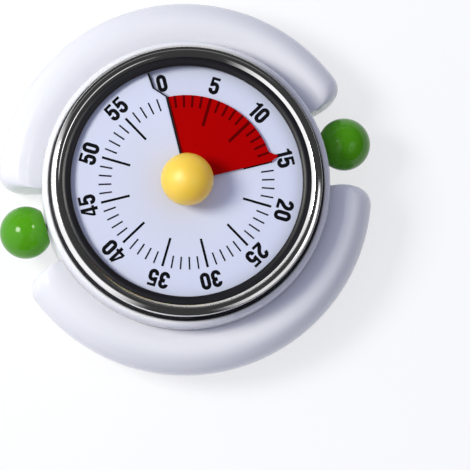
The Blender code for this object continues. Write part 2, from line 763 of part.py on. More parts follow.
def balls():
    """The green balls, cut to sit against the drum and bored for their screws."""
    for name, direction in zip(("right_ball", "left_ball"), BALL_PLACES):
        profile = [(0, -BALL_RADIUS)]
        for ring in range(1, BALL_RINGS):
            turn = math.pi * ring / BALL_RINGS
            profile.append((BALL_RADIUS * math.sin(turn), -BALL_RADIUS * math.cos(turn)))
        profile.append((0, BALL_RADIUS))
        body = pointed(turned(profile, MEDIUM_FACETS), direction, BALL_CENTRE, BALL_HEIGHT)
        ball = shown(body, name, ball_green())
        drum = rod(MAIN, DRUM_RADIUS + GAP, GAP, 2 * BALL_HEIGHT, LARGE_FACETS)
        combine(ball, drum, f"{name}_seat", "DIFFERENCE")
        hole = rod(MAIN, SCREW_RADIUS + GAP, -BALL_SCREW_BITE - GAP, DRUM_WALL)
        pointed(hole, direction, DRUM_RADIUS, BALL_HEIGHT)
        combine(ball, hole, f"{name}_bore", "DIFFERENCE")


# Front


def chrome_bezel():
    """The chromed ring: a flange, a groove and a rolled crest."""
    back = DRUM_FRONT + GAP
    flange_front = back + BEZEL_FLANGE_HEIGHT
    roll_radius = BEZEL_RADIUS - BEZEL_GROOVE
    crest = SURROUND_FRONT + BEZEL_CREST_RISE
    shoulder = flange_front + BEZEL_GROOVE
    crest_outer = BEZEL_INNER + BEZEL_CREST_WIDTH
    profile = [
        (BEZEL_RADIUS - BEZEL_SKIRT, back),
        (BEZEL_RADIUS, back),
        (BEZEL_RADIUS, flange_front),
        (roll_radius, shoulder),
    ]
    for step in range(1, BEZEL_ROLL_STEPS + 1):
        turn = math.pi / 2 * step / BEZEL_ROLL_STEPS
        radius = crest_outer + (roll_radius - crest_outer) * math.cos(turn)
        profile.append((radius, shoulder + (crest - shoulder) * math.sin(turn)))
    profile += [
        (BEZEL_INNER, SURROUND_FRONT),
        (BEZEL_INNER, CARRIER_FRONT + GAP),
        (BEZEL_RADIUS - BEZEL_SKIRT, CARRIER_FRONT + GAP),
    ]
    shown(turned(profile, LARGE_FACETS), "chrome_bezel", chrome())


def dial_surround():
    """The black ring that slopes from the bezel down to the edge of the dial."""
    profile = [
        (SURROUND_INNER, CARRIER_FRONT + GAP),
        (SURROUND_RADIUS, CARRIER_FRONT + GAP),
        (SURROUND_RADIUS, SURROUND_FRONT),
        (LIP_RADIUS, LIP_BACK + LIP_THICKNESS),
        (LIP_RADIUS, LIP_BACK),
        (SURROUND_INNER, LIP_BACK),
    ]
    shown(turned(profile, LARGE_FACETS), "dial_surround", black_plastic())


def climbing(section, start, turn, steps):
    """A strip that climbs like a stair as it goes clockwise.

    The section is a loop of (radius, height) points, start is the dial angle where it begins.
    """
    body = bmesh.new()
    first = math.radians(start)
    loop = [
        body.verts.new((radius * math.sin(first), radius * math.cos(first), height))
        for radius, height in section
    ]
    edges = [body.edges.new(pair) for pair in zip(loop, loop[1:] + loop[:1])]
    bmesh.ops.spin(
        body,
        geom=loop + edges,
        cent=(0, 0, 0),
        axis=(0, 0, -1),
        dvec=(0, 0, DIAL_RISE * turn / 360.0 / steps),
        angle=math.radians(turn),
        steps=steps,
    )
    bmesh.ops.holes_fill(body, edges=body.edges, sides=0)
    return body


def twist(body, radius, angle):
    """Turn everything beyond a radius clockwise along its own climb."""
    outer = [vert for vert in body.verts if vert.co.xy.length > radius]
    bmesh.ops.rotate(
        body,
        verts=outer,
        cent=(0, 0, 0),
        matrix=Matrix.Rotation(-math.radians(angle), 3, "Z"),
    )
    bmesh.ops.translate(body, verts=outer, vec=(0, 0, DIAL_RISE * angle / 360.0))


def dial_plate():
    """The white dial: one turn of a gentle screw surface, with a slit at the 0 mark."""
    radii = (DIAL_HOLE, SLIT_STRAIGHT, SLIT_JOG_END, DIAL_RADIUS)
    section = [(radius, DIAL_LOW) for radius in radii]
    section += [(radius, DIAL_LOW + DIAL_THICKNESS) for radius in reversed(radii)]
    body = climbing(section, 0.0, 360.0, DIAL_STEPS)
    twist(body, (SLIT_STRAIGHT + SLIT_JOG_END) / 2, -SLIT_JOG_ANGLE)
    shown(body, "dial_plate", dial_white())


def degrees_behind(place):
    """How far a place lies behind the front edge of the time disc, in degrees."""
    return DISC_SET_ANGLE - math.degrees(math.atan2(place.x, place.y))


def time_disc():
    """The red disc: one turn of the dial's own screw surface, with a pointed tab in front."""
    inner = HUB_RADIUS + GAP
    low = DIAL_LOW + DISC_ABOVE_DIAL + DIAL_RISE * (DISC_SET_ANGLE - 360.0) / 360.0
    section = [
        (inner, low),
        (DISC_RADIUS, low),
        (DISC_RADIUS, low + DISC_THICKNESS),
        (inner, low + DISC_THICKNESS),
    ]
    body = climbing(section, DISC_SET_ANGLE, 360.0, DIAL_STEPS)
    step_angle = 360.0 / DIAL_STEPS
    front_rim = [
        face
        for face in body.faces
        if all(vert.co.xy.length > DISC_RADIUS - GAP for vert in face.verts)
        and 0.0 < degrees_behind(face.calc_center_median()) < step_angle
    ]
    grown = bmesh.ops.extrude_face_region(body, geom=front_rim)
    tip = [item for item in grown["geom"] if isinstance(item, bmesh.types.BMVert)]
    bmesh.ops.delete(body, geom=front_rim, context="FACES_ONLY")
    reach = DISC_RADIUS + TAB_REACH
    for vert in tip:
        behind = degrees_behind(vert.co)
        angle = TAB_TIP_ANGLE if behind < step_angle / 2 else TAB_TIP_ANGLE + TAB_TIP_SPREAD
        vert.co.z -= DIAL_RISE * (angle - behind) / 360.0
        dial_angle = math.radians(DISC_SET_ANGLE - angle)
        vert.co.x = reach * math.sin(dial_angle)
        vert.co.y = reach * math.cos(dial_angle)
    shown(body, "time_disc", time_red())


def dial_carrier():
    """The pan behind the dial, with a climbing seat for the dial's rim and three posts."""
    seat_low = DIAL_LOW - GAP
    hole = ARBOR_RADIUS + RUN
    profile = [
        (hole, CARRIER_BACK),
        (CARRIER_RADIUS, CARRIER_BACK),
        (CARRIER_RADIUS, CARRIER_FRONT),
        (DIAL_RADIUS, CARRIER_FRONT),
        (DIAL_RADIUS, seat_low),
        (SEAT_INNER, seat_low),
        (SEAT_INNER, CARRIER_FRONT),
        (hole, CARRIER_FRONT),
    ]
    body = turned(profile, DIAL_STEPS)
    half_step = 180.0 / DIAL_STEPS
    for vert in body.verts:
        if vert.co.z > (CARRIER_FRONT + seat_low) / 2:
            angle = math.degrees(math.atan2(vert.co.x, vert.co.y)) + SLIT_JOG_ANGLE
            turn = angle % 360.0
            if 360.0 - turn > half_step:
                vert.co.z += DIAL_RISE * turn / 360.0
    carrier = shown(body, "dial_carrier", white_plastic())
    posts = []
    bores = []
    middle = (CARRIER_BACK + CARRIER_FRONT) / 2
    for direction in round_places(POSTS, POST_ANGLE):
        place = along(MAIN, direction, POST_CIRCLE)
        posts.append(rod(place, POST_RADIUS, POST_BACK, middle))
        bores.append(rod(place, SCREW_RADIUS + GAP, POST_BACK - GAP, CARRIER_BACK - GAP))
    combine(carrier, gathered(posts), "carrier_posts", "UNION")
    combine(carrier, gathered(bores), "carrier_bores", "DIFFERENCE")


def knob():
    """The yellow ball knob, flat below and bored for its insert."""
    foot = math.acos((KNOB_CENTRE - KNOB_BACK) / KNOB_RADIUS)
    bore = INSERT_RADIUS + GAP
    bore_front = INSERT_FRONT + GAP
    profile = [(0, bore_front), (bore, bore_front), (bore, KNOB_BACK)]
    for ring in range(KNOB_RINGS + 1):
        turn = foot + (math.pi - foot) * ring / KNOB_RINGS
        radius = KNOB_RADIUS * math.sin(turn) if ring < KNOB_RINGS else 0
        profile.append((radius, KNOB_CENTRE - KNOB_RADIUS * math.cos(turn)))
    shown(turned(profile, MEDIUM_FACETS), "knob", knob_yellow())
    sleeve = tube(ARBOR_RADIUS + GAP, INSERT_RADIUS, INSERT_BACK, INSERT_FRONT, SMALL_FACETS)
    shown(sleeve, "knob_insert", brass())
    hub = tube(ARBOR_RADIUS + GAP, HUB_RADIUS, HUB_BACK, HUB_FRONT, MEDIUM_FACETS)
    shown(hub, "disc_hub", white_plastic())


# Movement


def thin_arbor_ends():
    """Where the thin pivots begin and end: just inside the outer faces of the plates."""
    return REAR_PLATE_BACK + GAP, FRONT_PLATE_FRONT - GAP


def thin_arbor(centre):
    """A slim arbor with a finer pivot at each end."""
    back, front = thin_arbor_ends()
    shoulder_back = REAR_PLATE_FRONT + GAP
    shoulder_front = FRONT_PLATE_BACK - GAP
    profile = [
        (0, back),
        (THIN_PIVOT_RADIUS, back),
        (THIN_PIVOT_RADIUS, shoulder_back),
        (THIN_ARBOR_RADIUS, shoulder_back),
        (THIN_ARBOR_RADIUS, shoulder_front),
        (THIN_PIVOT_RADIUS, shoulder_front),
        (THIN_PIVOT_RADIUS, front),
        (0, front),
    ]
    return turned(profile, SMALL_FACETS, centre)


def main_arbor():
    """The arbor that the knob turns, with the core that the mainspring is wound on."""
    back = REAR_PLATE_BACK - BUSH_FLANGE
    shoulder = REAR_PLATE_FRONT + GAP
    front = INSERT_FRONT - GAP
    core_back = BARREL_BACK + GAP
    core_front = BARREL_FRONT - BARREL_WALL - GAP
    profile = [
        (0, back),
        (PIVOT_RADIUS, back),
        (PIVOT_RADIUS, shoulder),
        (ARBOR_RADIUS, shoulder),
        (ARBOR_RADIUS, core_back),
        (SPRING_CORE_RADIUS, core_back),
        (SPRING_CORE_RADIUS, core_front),
        (ARBOR_RADIUS, core_front),
        (ARBOR_RADIUS, front),
        (0, front),
    ]
    shown(turned(profile, SMALL_FACETS), "main_arbor", steel())


def bushes():
    """The brass bearings of the main arbor in the two plates."""
    bore = PIVOT_RADIUS + GAP
    outer = bore + BUSH_WALL
    back = REAR_PLATE_BACK - BUSH_FLANGE
    profile = [
        (bore, back),
        (outer + BUSH_FLANGE, back),
        (outer + BUSH_FLANGE, REAR_PLATE_BACK - GAP),
        (outer, REAR_PLATE_BACK - GAP),
        (outer, REAR_PLATE_FRONT),
        (bore, REAR_PLATE_FRONT),
    ]
    shown(turned(profile, MEDIUM_FACETS), "rear_bush", brass())
    bore = ARBOR_RADIUS + GAP
    outer = bore + BUSH_WALL
    front = FRONT_PLATE_FRONT + GAP + BUSH_FLANGE
    profile = [
        (bore, FRONT_PLATE_BACK),
        (outer, FRONT_PLATE_BACK),
        (outer, FRONT_PLATE_FRONT + GAP),
        (outer + BUSH_FLANGE, FRONT_PLATE_FRONT + GAP),
        (outer + BUSH_FLANGE, front),
        (bore, front),
    ]
    shown(turned(profile, MEDIUM_FACETS), "front_bush", brass())


def pivot_holes():
    """The holes that both plates share."""
    fine = THIN_PIVOT_RADIUS + GAP
    holes = [circle(place, fine, SMALL_FACETS) for place in (SECOND, THIRD, ESCAPE, PALLET)]
    for direction in PILLAR_ANGLES:
        place = along(MAIN, direction, PILLAR_CIRCLE)
        holes.append(circle(place, PILLAR_STUD_RADIUS + GAP, SMALL_FACETS))
    return holes


def plates():
    """The two brass plates that the train runs between."""
    holes = pivot_holes()
    holes.append(circle(MAIN, PIVOT_RADIUS + 2 * GAP + BUSH_WALL, MEDIUM_FACETS))
    holes.append(circle(HAMMER, THIN_ARBOR_RADIUS + GAP, SMALL_FACETS))
    holes.append(circle(GONG, PILLAR_STUD_RADIUS + GAP, SMALL_FACETS))
    outline = circle(MAIN, REAR_PLATE_RADIUS, LARGE_FACETS)
    shown(sheet(outline, holes, REAR_PLATE_BACK, REAR_PLATE_FRONT), "rear_plate", brass())
    holes = pivot_holes()
    holes.append(circle(MAIN, ARBOR_RADIUS + 2 * GAP + BUSH_WALL, MEDIUM_FACETS))
    holes.append(circle(HAMMER, THIN_PIVOT_RADIUS + GAP, SMALL_FACETS))
    for direction in round_places(POSTS, POST_ANGLE):
        place = along(MAIN, direction, POST_CIRCLE)
        holes.append(circle(place, SCREW_RADIUS + GAP, SMALL_FACETS))
    outline = circle(MAIN, FRONT_PLATE_RADIUS, LARGE_FACETS)
    shown(sheet(outline, holes, FRONT_PLATE_BACK, FRONT_PLATE_FRONT), "front_plate", brass())


def pillars():
    """The pillars between the plates, shouldered at both ends, and the nuts behind them."""
    for number, direction in enumerate(PILLAR_ANGLES, 1):
        place = along(MAIN, direction, PILLAR_CIRCLE)
        back = REAR_PLATE_FRONT + GAP
        front = FRONT_PLATE_BACK - GAP
        profile = [
            (0, NUT_BACK),
            (PILLAR_STUD_RADIUS, NUT_BACK),
            (PILLAR_STUD_RADIUS, back),
            (PILLAR_RADIUS, back),
            (PILLAR_RADIUS, front),
            (PILLAR_STUD_RADIUS, front),
            (PILLAR_STUD_RADIUS, FRONT_PLATE_FRONT),
            (0, FRONT_PLATE_FRONT),
        ]
        shown(turned(profile, SMALL_FACETS, place), f"pillar_{number}", brass())
        bore = circle(place, PILLAR_STUD_RADIUS + GAP, SMALL_FACETS)
        nut = sheet(circle(place, NUT_RADIUS, 6), [bore], NUT_BACK, NUT_FRONT)
        shown(nut, f"pillar_nut_{number}", steel())


def movement_screws():
    """The screws that hold the movement to the posts of the dial carrier."""
    seat = FRONT_PLATE_BACK - GAP
    length = (POST_BACK + CARRIER_BACK) / 2 - seat
    for number, direction in enumerate(round_places(POSTS, POST_ANGLE), 1):
        place = along(MAIN, direction, POST_CIRCLE)
        body = placed(screw(length, head_up=False), place.x, place.y, seat)
        shown(body, f"movement_screw_{number}", steel())


def spring_barrel():
    """The fixed barrel round the mainspring, open behind."""
    inner = BARREL_RADIUS - BARREL_WALL
    bore = ARBOR_RADIUS + GAP
    profile = [
        (bore, BARREL_FRONT - BARREL_WALL),
        (inner, BARREL_FRONT - BARREL_WALL),
        (inner, BARREL_BACK),
        (BARREL_RADIUS, BARREL_BACK),
        (BARREL_RADIUS, BARREL_FRONT),
        (bore, BARREL_FRONT),
    ]
    shown(turned(profile, LARGE_FACETS), "spring_barrel", steel())


def mainspring():
    """The wound spring: a flat strip in a spiral between the core and the barrel wall."""
    inner = SPRING_CORE_RADIUS + GAP
    outer = BARREL_RADIUS - BARREL_WALL - GAP - SPRING_THICKNESS
    back = BARREL_BACK + GAP
    front = BARREL_FRONT - BARREL_WALL - GAP
    count = SPRING_TURNS * SPRING_POINTS
    near = []
    far = []
    for step in range(count + 1):
        radius = inner + (outer - inner) * step / count
        turn = math.tau * step / SPRING_POINTS
        near.append((radius * math.cos(turn), radius * math.sin(turn)))
        radius += SPRING_THICKNESS
        far.append((radius * math.cos(turn), radius * math.sin(turn)))
    shown(sheet(near + far[::-1], [], back, front), "mainspring", steel())


def wheel(name, centre, teeth, module, tooth_at, back, thickness, bore):
    """A brass wheel with a round bore."""
    outline = gear_outline(centre, teeth, module, tooth_at)
    body = sheet(outline, [circle(centre, bore, SMALL_FACETS)], back, back + thickness)
    shown(body, name, brass())


def pinion(name, centre, teeth, module, tooth_at, back, front):
    """A steel pinion cut on its own slim arbor."""
    arbor = shown(thin_arbor(centre), name, steel())
    leaves = sheet(gear_outline(centre, teeth, module, tooth_at), [], back, front)
    combine(arbor, leaves, f"{name}_leaves", "UNION")


def train():
    """The great wheel and the three arbors that it drives."""
    slim = THIN_ARBOR_RADIUS + GAP
    great_at = SECOND_DIRECTION
    wheel(
        "great_wheel",
        MAIN,
        GREAT_TEETH,
        GREAT_MODULE,
        great_at,
        GREAT_BACK,
        GREAT_THICKNESS,
        ARBOR_RADIUS + GAP,
    )
    pinion(
        "second_pinion",
        SECOND,
        SECOND_PINION_TEETH,
        GREAT_MODULE,
        facing_tooth(SECOND_DIRECTION, SECOND_PINION_TEETH),
        GREAT_BACK - PINION_EXTRA,
        GREAT_FRONT + RUN / 2,
    )
    wheel(
        "second_wheel",
        SECOND,
        SECOND_TEETH,
        SECOND_MODULE,
        THIRD_DIRECTION,
        SECOND_BACK,
        WHEEL_THICKNESS,
        slim,
    )
    pinion(
        "third_pinion",
        THIRD,
        THIRD_PINION_TEETH,
        SECOND_MODULE,
        facing_tooth(THIRD_DIRECTION, THIRD_PINION_TEETH),
        SECOND_BACK - PINION_EXTRA,
        SECOND_FRONT + RUN / 2,
    )
    wheel(
        "third_wheel",
        THIRD,
        THIRD_TEETH,
        THIRD_MODULE,
        ESCAPE_DIRECTION,
        THIRD_BACK,
        WHEEL_THICKNESS,
        slim,
    )
    pinion(
        "escape_pinion",
        ESCAPE,
        ESCAPE_PINION_TEETH,
        THIRD_MODULE,
        facing_tooth(ESCAPE_DIRECTION, ESCAPE_PINION_TEETH),
        SECOND_FRONT + RUN / 2,
        THIRD_FRONT + PINION_EXTRA,
    )


def escapement():
    """The escape wheel, with a tooth towards the pallets, and the two-armed pallet lever."""
    points = []
    for tooth in range(ESCAPE_TEETH):
        middle = math.radians(PALLET_DIRECTION) + math.tau * tooth / ESCAPE_TEETH
        for radius, width in (
            (ESCAPE_ROOT, -ESCAPE_ROOT_WIDTH),
            (ESCAPE_RADIUS, -ESCAPE_TIP_WIDTH),
            (ESCAPE_RADIUS, ESCAPE_TIP_WIDTH),
            (ESCAPE_ROOT, ESCAPE_ROOT_WIDTH),
        ):
            turn = middle + width / 2 / radius
            points.append((ESCAPE.x + radius * math.cos(turn), ESCAPE.y + radius * math.sin(turn)))
    bore = circle(ESCAPE, THIN_ARBOR_RADIUS + GAP, SMALL_FACETS)
    body = sheet(points, [bore], SECOND_BACK, SECOND_FRONT)
    shown(body, "escape_wheel", brass())

    reach = math.radians(PALLET_PITCHES * 180.0 / ESCAPE_TEETH)
    tip = ESCAPE_RADIUS + PALLET_CLEARANCE
    heel = tip + PALLET_LENGTH
    side = Vector((math.cos(reach), math.sin(reach)))
    across = Vector((-math.sin(reach), math.cos(reach)))
    half = PALLET_WIDTH / 2
    boss = PALLET_DISTANCE
    upper = [
        Vector((boss - PALLET_BOSS_RADIUS, 0.0)),
        Vector((boss - PALLET_BOSS_RADIUS, PALLET_BOSS_RADIUS * PALLET_SHOULDER_SHARE)),
        side * heel - across * half * PALLET_HEEL_SHARE,
        side * tip - across * half,
        side * tip + across * half,
        side * (heel + 2 * half) + across * half,
        Vector((boss + PALLET_BOSS_RADIUS * PALLET_CROWN_SHARE, PALLET_BOSS_RADIUS)),
        Vector((boss + PALLET_BOSS_RADIUS, 0.0)),
    ]
    lower = [Vector((point.x, -point.y)) for point in upper[-2:0:-1]]
    spin = Matrix.Rotation(math.radians(PALLET_DIRECTION), 2)
    outline = [ESCAPE + spin @ point for point in upper + lower]
    bore = circle(PALLET, THIN_ARBOR_RADIUS + GAP, SMALL_FACETS)
    body = sheet([tuple(point) for point in outline], [bore], SECOND_BACK, SECOND_FRONT)
    shown(body, "pallet_lever", steel())
    shown(thin_arbor(PALLET), "pallet_arbor", steel())


def click_work():
    """The ratchet wheel on the main arbor, and the click on its pin in the great wheel."""
    points = []
    pitch = math.tau / RATCHET_TEETH
    for tooth in range(RATCHET_TEETH):
        start = tooth * pitch
        end = start + pitch
        points.append((RATCHET_ROOT * math.cos(start), RATCHET_ROOT * math.sin(start)))
        points.append((RATCHET_RADIUS * math.cos(end), RATCHET_RADIUS * math.sin(end)))
    bore = circle(MAIN, ARBOR_RADIUS + GAP, SMALL_FACETS)
    shown(sheet(points, [bore], CLICK_BACK, CLICK_FRONT), "ratchet_wheel", steel())

    pin = rod(CLICK, CLICK_PIN_RADIUS, CLICK_BACK, (GREAT_BACK + GREAT_FRONT) / 2)
    combine(bpy.data.objects["great_wheel"], pin, "click_pin", "UNION")
    tip_reach = RATCHET_RADIUS + GAP + CLICK_TIP_RADIUS
    tip = along(MAIN, CLICK_DIRECTION + CLICK_LEAN, tip_reach)
    outline = lever_outline(CLICK, CLICK_BOSS_RADIUS, tip, CLICK_TIP_RADIUS)
    hole = circle(CLICK, CLICK_PIN_RADIUS + GAP, SMALL_FACETS)
    shown(sheet(outline, [hole], CLICK_BACK, CLICK_FRONT), "click", steel())


def strike_work():
    """The cam on the main arbor, the hammer, and its arbor with the tail that the cam lifts."""
    points = []
    for step in range(MEDIUM_FACETS):
        angle = 360.0 * step / MEDIUM_FACETS
        in_notch = angle < CAM_NOTCH_ANGLE
        radius = CAM_RADIUS - CAM_NOTCH_DEPTH if in_notch else CAM_RADIUS
        points.append(tuple(along(MAIN, angle, radius)))
    bore = circle(MAIN, ARBOR_RADIUS + GAP, SMALL_FACETS)
    shown(sheet(points, [bore], SECOND_BACK, SECOND_FRONT), "strike_cam", steel())

    tail_tip = HAMMER + TO_MAIN * TAIL_REACH
    outline = lever_outline(HAMMER, HAMMER_BOSS_RADIUS, tail_tip, TAIL_TIP_RADIUS)
    tail = sheet(outline, [], SECOND_BACK, SECOND_FRONT)

    rim = GONG_RADIUS - GONG_THICKNESS - HAMMER_STRIKE_GAP - HAMMER_HEAD_RADIUS
    head = along(GONG, HAMMER_HEAD_DIRECTION, rim)
    arm_back = GONG_BACK + GONG_THICKNESS + RUN
    arm_front = arm_back + HAMMER_THICKNESS
    outline = lever_outline(HAMMER, HAMMER_BOSS_RADIUS, head, HAMMER_HEAD_RADIUS)
    hole = circle(HAMMER, THIN_ARBOR_RADIUS + GAP, SMALL_FACETS)
    shown(sheet(outline, [hole], arm_back, arm_front), "hammer", steel())

    shoulder = FRONT_PLATE_BACK - GAP
    profile = [
        (0, arm_back),
        (THIN_ARBOR_RADIUS, arm_back),
        (THIN_ARBOR_RADIUS, shoulder),
        (THIN_PIVOT_RADIUS, shoulder),
        (THIN_PIVOT_RADIUS, FRONT_PLATE_FRONT - GAP),
        (0, FRONT_PLATE_FRONT - GAP),
    ]
    arbor = shown(turned(profile, SMALL_FACETS, HAMMER), "hammer_arbor", steel())
    combine(arbor, tail, "hammer_tail", "UNION")


def pull_spring():
    """The coil spring that pulls the hammer's tail back, from a pillar."""
    level = (SECOND_BACK + SECOND_FRONT) / 2
    pillar = along(MAIN, PILLAR_ANGLES[-1], PILLAR_CIRCLE)
    held = HAMMER + TO_MAIN * TAIL_REACH * COIL_TAIL_SHARE
    taper = (TAIL_TIP_RADIUS - HAMMER_BOSS_RADIUS) * COIL_TAIL_SHARE
    half_width = HAMMER_BOSS_RADIUS + taper
    run = (held - pillar).normalized()
    start = pillar + run * (PILLAR_RADIUS + GAP + COIL_WIRE)
    end = held - run * (half_width + GAP + 2 * COIL_WIRE)
    across = Vector((-run.y, run.x))
    slack = ((end - start).length - COIL_LENGTH) / 2
    coil_start = start + run * slack
    points = [(start.x, start.y, level)]
    for step in range(COIL_TURNS * COIL_POINTS + 1):
        turn = math.tau * step / COIL_POINTS
        place = coil_start + run * COIL_LENGTH * step / (COIL_TURNS * COIL_POINTS)
        place += across * COIL_RADIUS * math.sin(turn)
        points.append((place.x, place.y, level + COIL_RADIUS * math.cos(turn)))
    points.append((end.x, end.y, level))
    curve = bpy.data.curves.new("hammer_spring", "CURVE")
    curve.dimensions = "3D"
    curve.bevel_depth = COIL_WIRE
    curve.bevel_resolution = 0
    curve.use_fill_caps = True
    spline = curve.splines.new("POLY")
    spline.points.add(len(points) - 1)
    for point, place in zip(spline.points, points):
        point.co = (*place, 1.0)
    made = bpy.data.objects.new("hammer_spring", curve)
    curve.materials.append(steel())
    bpy.context.collection.objects.link(made)


def bell():
    """The bell cup behind the movement, on a post with a screw."""
    inner = GONG_RADIUS - GONG_THICKNESS
    front = GONG_BACK + GONG_DEPTH
    bore = SCREW_RADIUS + GAP
    profile = [
        (bore, GONG_BACK),
        (inner, GONG_BACK),
        (GONG_RADIUS, GONG_BACK + GONG_THICKNESS),
        (GONG_RADIUS, front),
        (inner, front),
        (inner, GONG_BACK + GONG_THICKNESS),
        (bore, GONG_BACK + GONG_THICKNESS),
    ]
    shown(turned(profile, LARGE_FACETS, GONG), "gong", nickel())

    post_back = GONG_BACK + GONG_THICKNESS + GAP
    post_front = REAR_PLATE_BACK - GAP
    socket_front = (post_back + post_front) / 2
    profile = [
        (0, socket_front),
        (bore, socket_front),
        (bore, post_back),
        (GONG_POST_RADIUS, post_back),
        (GONG_POST_RADIUS, post_front),
        (PILLAR_STUD_RADIUS, post_front),
        (PILLAR_STUD_RADIUS, REAR_PLATE_FRONT),
        (0, REAR_PLATE_FRONT),
    ]
    shown(turned(profile, SMALL_FACETS, GONG), "gong_post", steel())

    head_front = GONG_BACK - GAP
    profile = [
        (0, head_front - GONG_SCREW_HEAD),
        (SCREW_HEAD_RADIUS, head_front - GONG_SCREW_HEAD),
        (SCREW_HEAD_RADIUS, head_front),
        (SCREW_RADIUS, head_front),
        (SCREW_RADIUS, socket_front - GAP),
        (0, socket_front - GAP),
    ]
    shown(turned(profile, SMALL_FACETS, GONG), "gong_screw", steel())


# Joint axes: the origin of each moving piece lies on its own axis


MOVING_ON = {
    "knob": MAIN,
    "knob_insert": MAIN,
    "disc_hub": MAIN,
    "time_disc": MAIN,
    "main_arbor": MAIN,
    "great_wheel": MAIN,
    "ratchet_wheel": MAIN,
    "strike_cam": MAIN,
    "click": CLICK,
    "second_pinion": SECOND,
    "second_wheel": SECOND,
    "third_pinion": THIRD,
    "third_wheel": THIRD,
    "escape_pinion": ESCAPE,
    "escape_wheel": ESCAPE,
    "pallet_lever": PALLET,
    "pallet_arbor": PALLET,
    "hammer": HAMMER,
    "hammer_arbor": HAMMER,
}


def hang_on_axes():
    """Parent each moving piece to an empty that stands on its axis."""
    axes = {}
    for name, place in MOVING_ON.items():
        key = (place.x, place.y)
        if key not in axes:
            axis = bpy.data.objects.new(f"axis_of_{name}", None)
            axis.location = (place.x, place.y, 0.0)
            bpy.context.collection.objects.link(axis)
            axes[key] = axis
        piece = bpy.data.objects[name]
        piece.parent = axes[key]
        piece.matrix_parent_inverse = Matrix.Translation((-place.x, -place.y, 0.0))


def main():
    for old in list(bpy.data.objects):
        bpy.data.objects.remove(old)
    drum_housing()
    back_cover()
    cover_screws()
    back_magnets()
    grips()
    side_screws()
    balls()
    chrome_bezel()
    dial_surround()
    dial_plate()
    time_disc()
    dial_carrier()
    knob()
    main_arbor()
    bushes()
    plates()
    pillars()
    movement_screws()
    spring_barrel()
    mainspring()
    train()
    escapement()
    click_work()
    strike_work()
    pull_spring()
    bell()
    hang_on_axes()


main()
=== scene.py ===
"""Looks of a round wind-up kitchen timer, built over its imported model.

Lengths are in metres. The timer lies on its back: Z goes from the back cover to the dial,
Y points to the 0 mark and X to the 15 mark. A dial angle is counted clockwise from the
0 mark, in degrees, as the minutes are.
"""

import json
import math

import bmesh
import bpy
from mathutils import Matrix, Vector


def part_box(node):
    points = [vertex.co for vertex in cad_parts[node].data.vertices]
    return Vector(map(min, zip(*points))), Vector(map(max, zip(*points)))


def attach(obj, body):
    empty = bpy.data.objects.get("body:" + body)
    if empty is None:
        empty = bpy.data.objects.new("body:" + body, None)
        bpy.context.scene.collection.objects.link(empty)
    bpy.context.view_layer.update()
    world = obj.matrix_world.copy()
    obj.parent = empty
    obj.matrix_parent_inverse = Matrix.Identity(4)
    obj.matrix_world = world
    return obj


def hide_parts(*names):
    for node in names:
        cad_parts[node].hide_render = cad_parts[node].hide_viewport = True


bl_info = {
    "name": "Visual kitchen timer",
    "version": (1, 0, 0),
    "blender": (4, 5, 0),
    "location": "View3D > Sidebar > Timer",
    "description": "Builds the case, bezel, dial, time disc and knob of a wind-up kitchen timer",
    "category": "Object",
}

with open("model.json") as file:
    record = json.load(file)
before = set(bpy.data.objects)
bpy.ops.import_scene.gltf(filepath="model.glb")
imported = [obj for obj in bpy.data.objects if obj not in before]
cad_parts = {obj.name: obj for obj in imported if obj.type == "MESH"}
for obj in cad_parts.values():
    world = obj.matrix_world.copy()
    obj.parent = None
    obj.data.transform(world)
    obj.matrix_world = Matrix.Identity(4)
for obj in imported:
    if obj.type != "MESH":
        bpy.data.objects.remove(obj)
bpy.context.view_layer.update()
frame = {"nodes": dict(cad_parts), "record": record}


def reach(node):
    """How far a round piece about the main axis reaches towards +X."""
    return round(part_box(node)[1].x, 6)


def low(node):
    """The height where a piece begins."""
    return round(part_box(node)[0].z, 6)


def high(node):
    """The height where a piece ends."""
    return round(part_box(node)[1].z, 6)


def middle_of(name):
    """The middle of a CAD piece, seen from the front."""
    lowest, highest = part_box(name)
    return ((lowest.x + highest.x) / 2, (lowest.y + highest.y) / 2)


# Clearances and small steps
GAP = 0.0003  # between a piece and what stands in it or turns in it
CLEAR_OF_FLOOR = 0.0002  # from the back of the timer down to the floor
INK = 0.00003  # how far a print stands out of its sheet
HAIR = 0.000002  # keeps two faces from lying in one plane
MERGE = 1e-7  # points closer than this become one
ON_EDGE = 1e-5  # how near the disc's radius a point is on its edge
ALIGNED = 0.01  # degrees within which a point stands at the slit

# Back of the case
COVER_FACE = 0.0024  # inner face of the back cover
COVER_EDGE = 0.0008  # its chamfer
COVER_LIP = 0.0006  # width of its lip
SCREW_HEAD = 0.0021
SCREW_EDGE = 0.0003  # chamfer of a screw's head
SCREW_SHANK = 0.0011
SCREW_SEAT = 0.0011  # height where a screw's head ends
CROSS_ARM = 0.00125  # from the middle of the cross to the end of an arm
CROSS_HALF = 0.00032  # half the width of an arm
CROSS_DEPTH = 0.0006
CROSS_TAPER = 0.55  # size of the cross at its bottom
SCREW_TURNS = (1.3, 2.2, 3.1)  # how the three crosses happen to stand, in radians
SLOT_INNER = 0.0065  # sound slots: where they begin and end, and half their width
SLOT_OUTER = 0.0140
SLOT_HALF = 0.0010
MAGNET_RADIUS = 0.0050

# Balls and grips
BALL_CENTRE = 0.0456
BALL_DIRECTION = 1.8  # degrees
BALL_RADIUS = reach("right_ball") - BALL_CENTRE * math.cos(math.radians(BALL_DIRECTION))
GRIP_RADIUS = round(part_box("upper_grip_arc")[1].y, 6)
GRIP_END_WIDTH = 0.55  # what is left of a grip's width and height at its very end
GRIP_END_HEIGHT = 0.70
GRIP_STEPS = (12, 84, 12)  # along one end, the middle and the other end

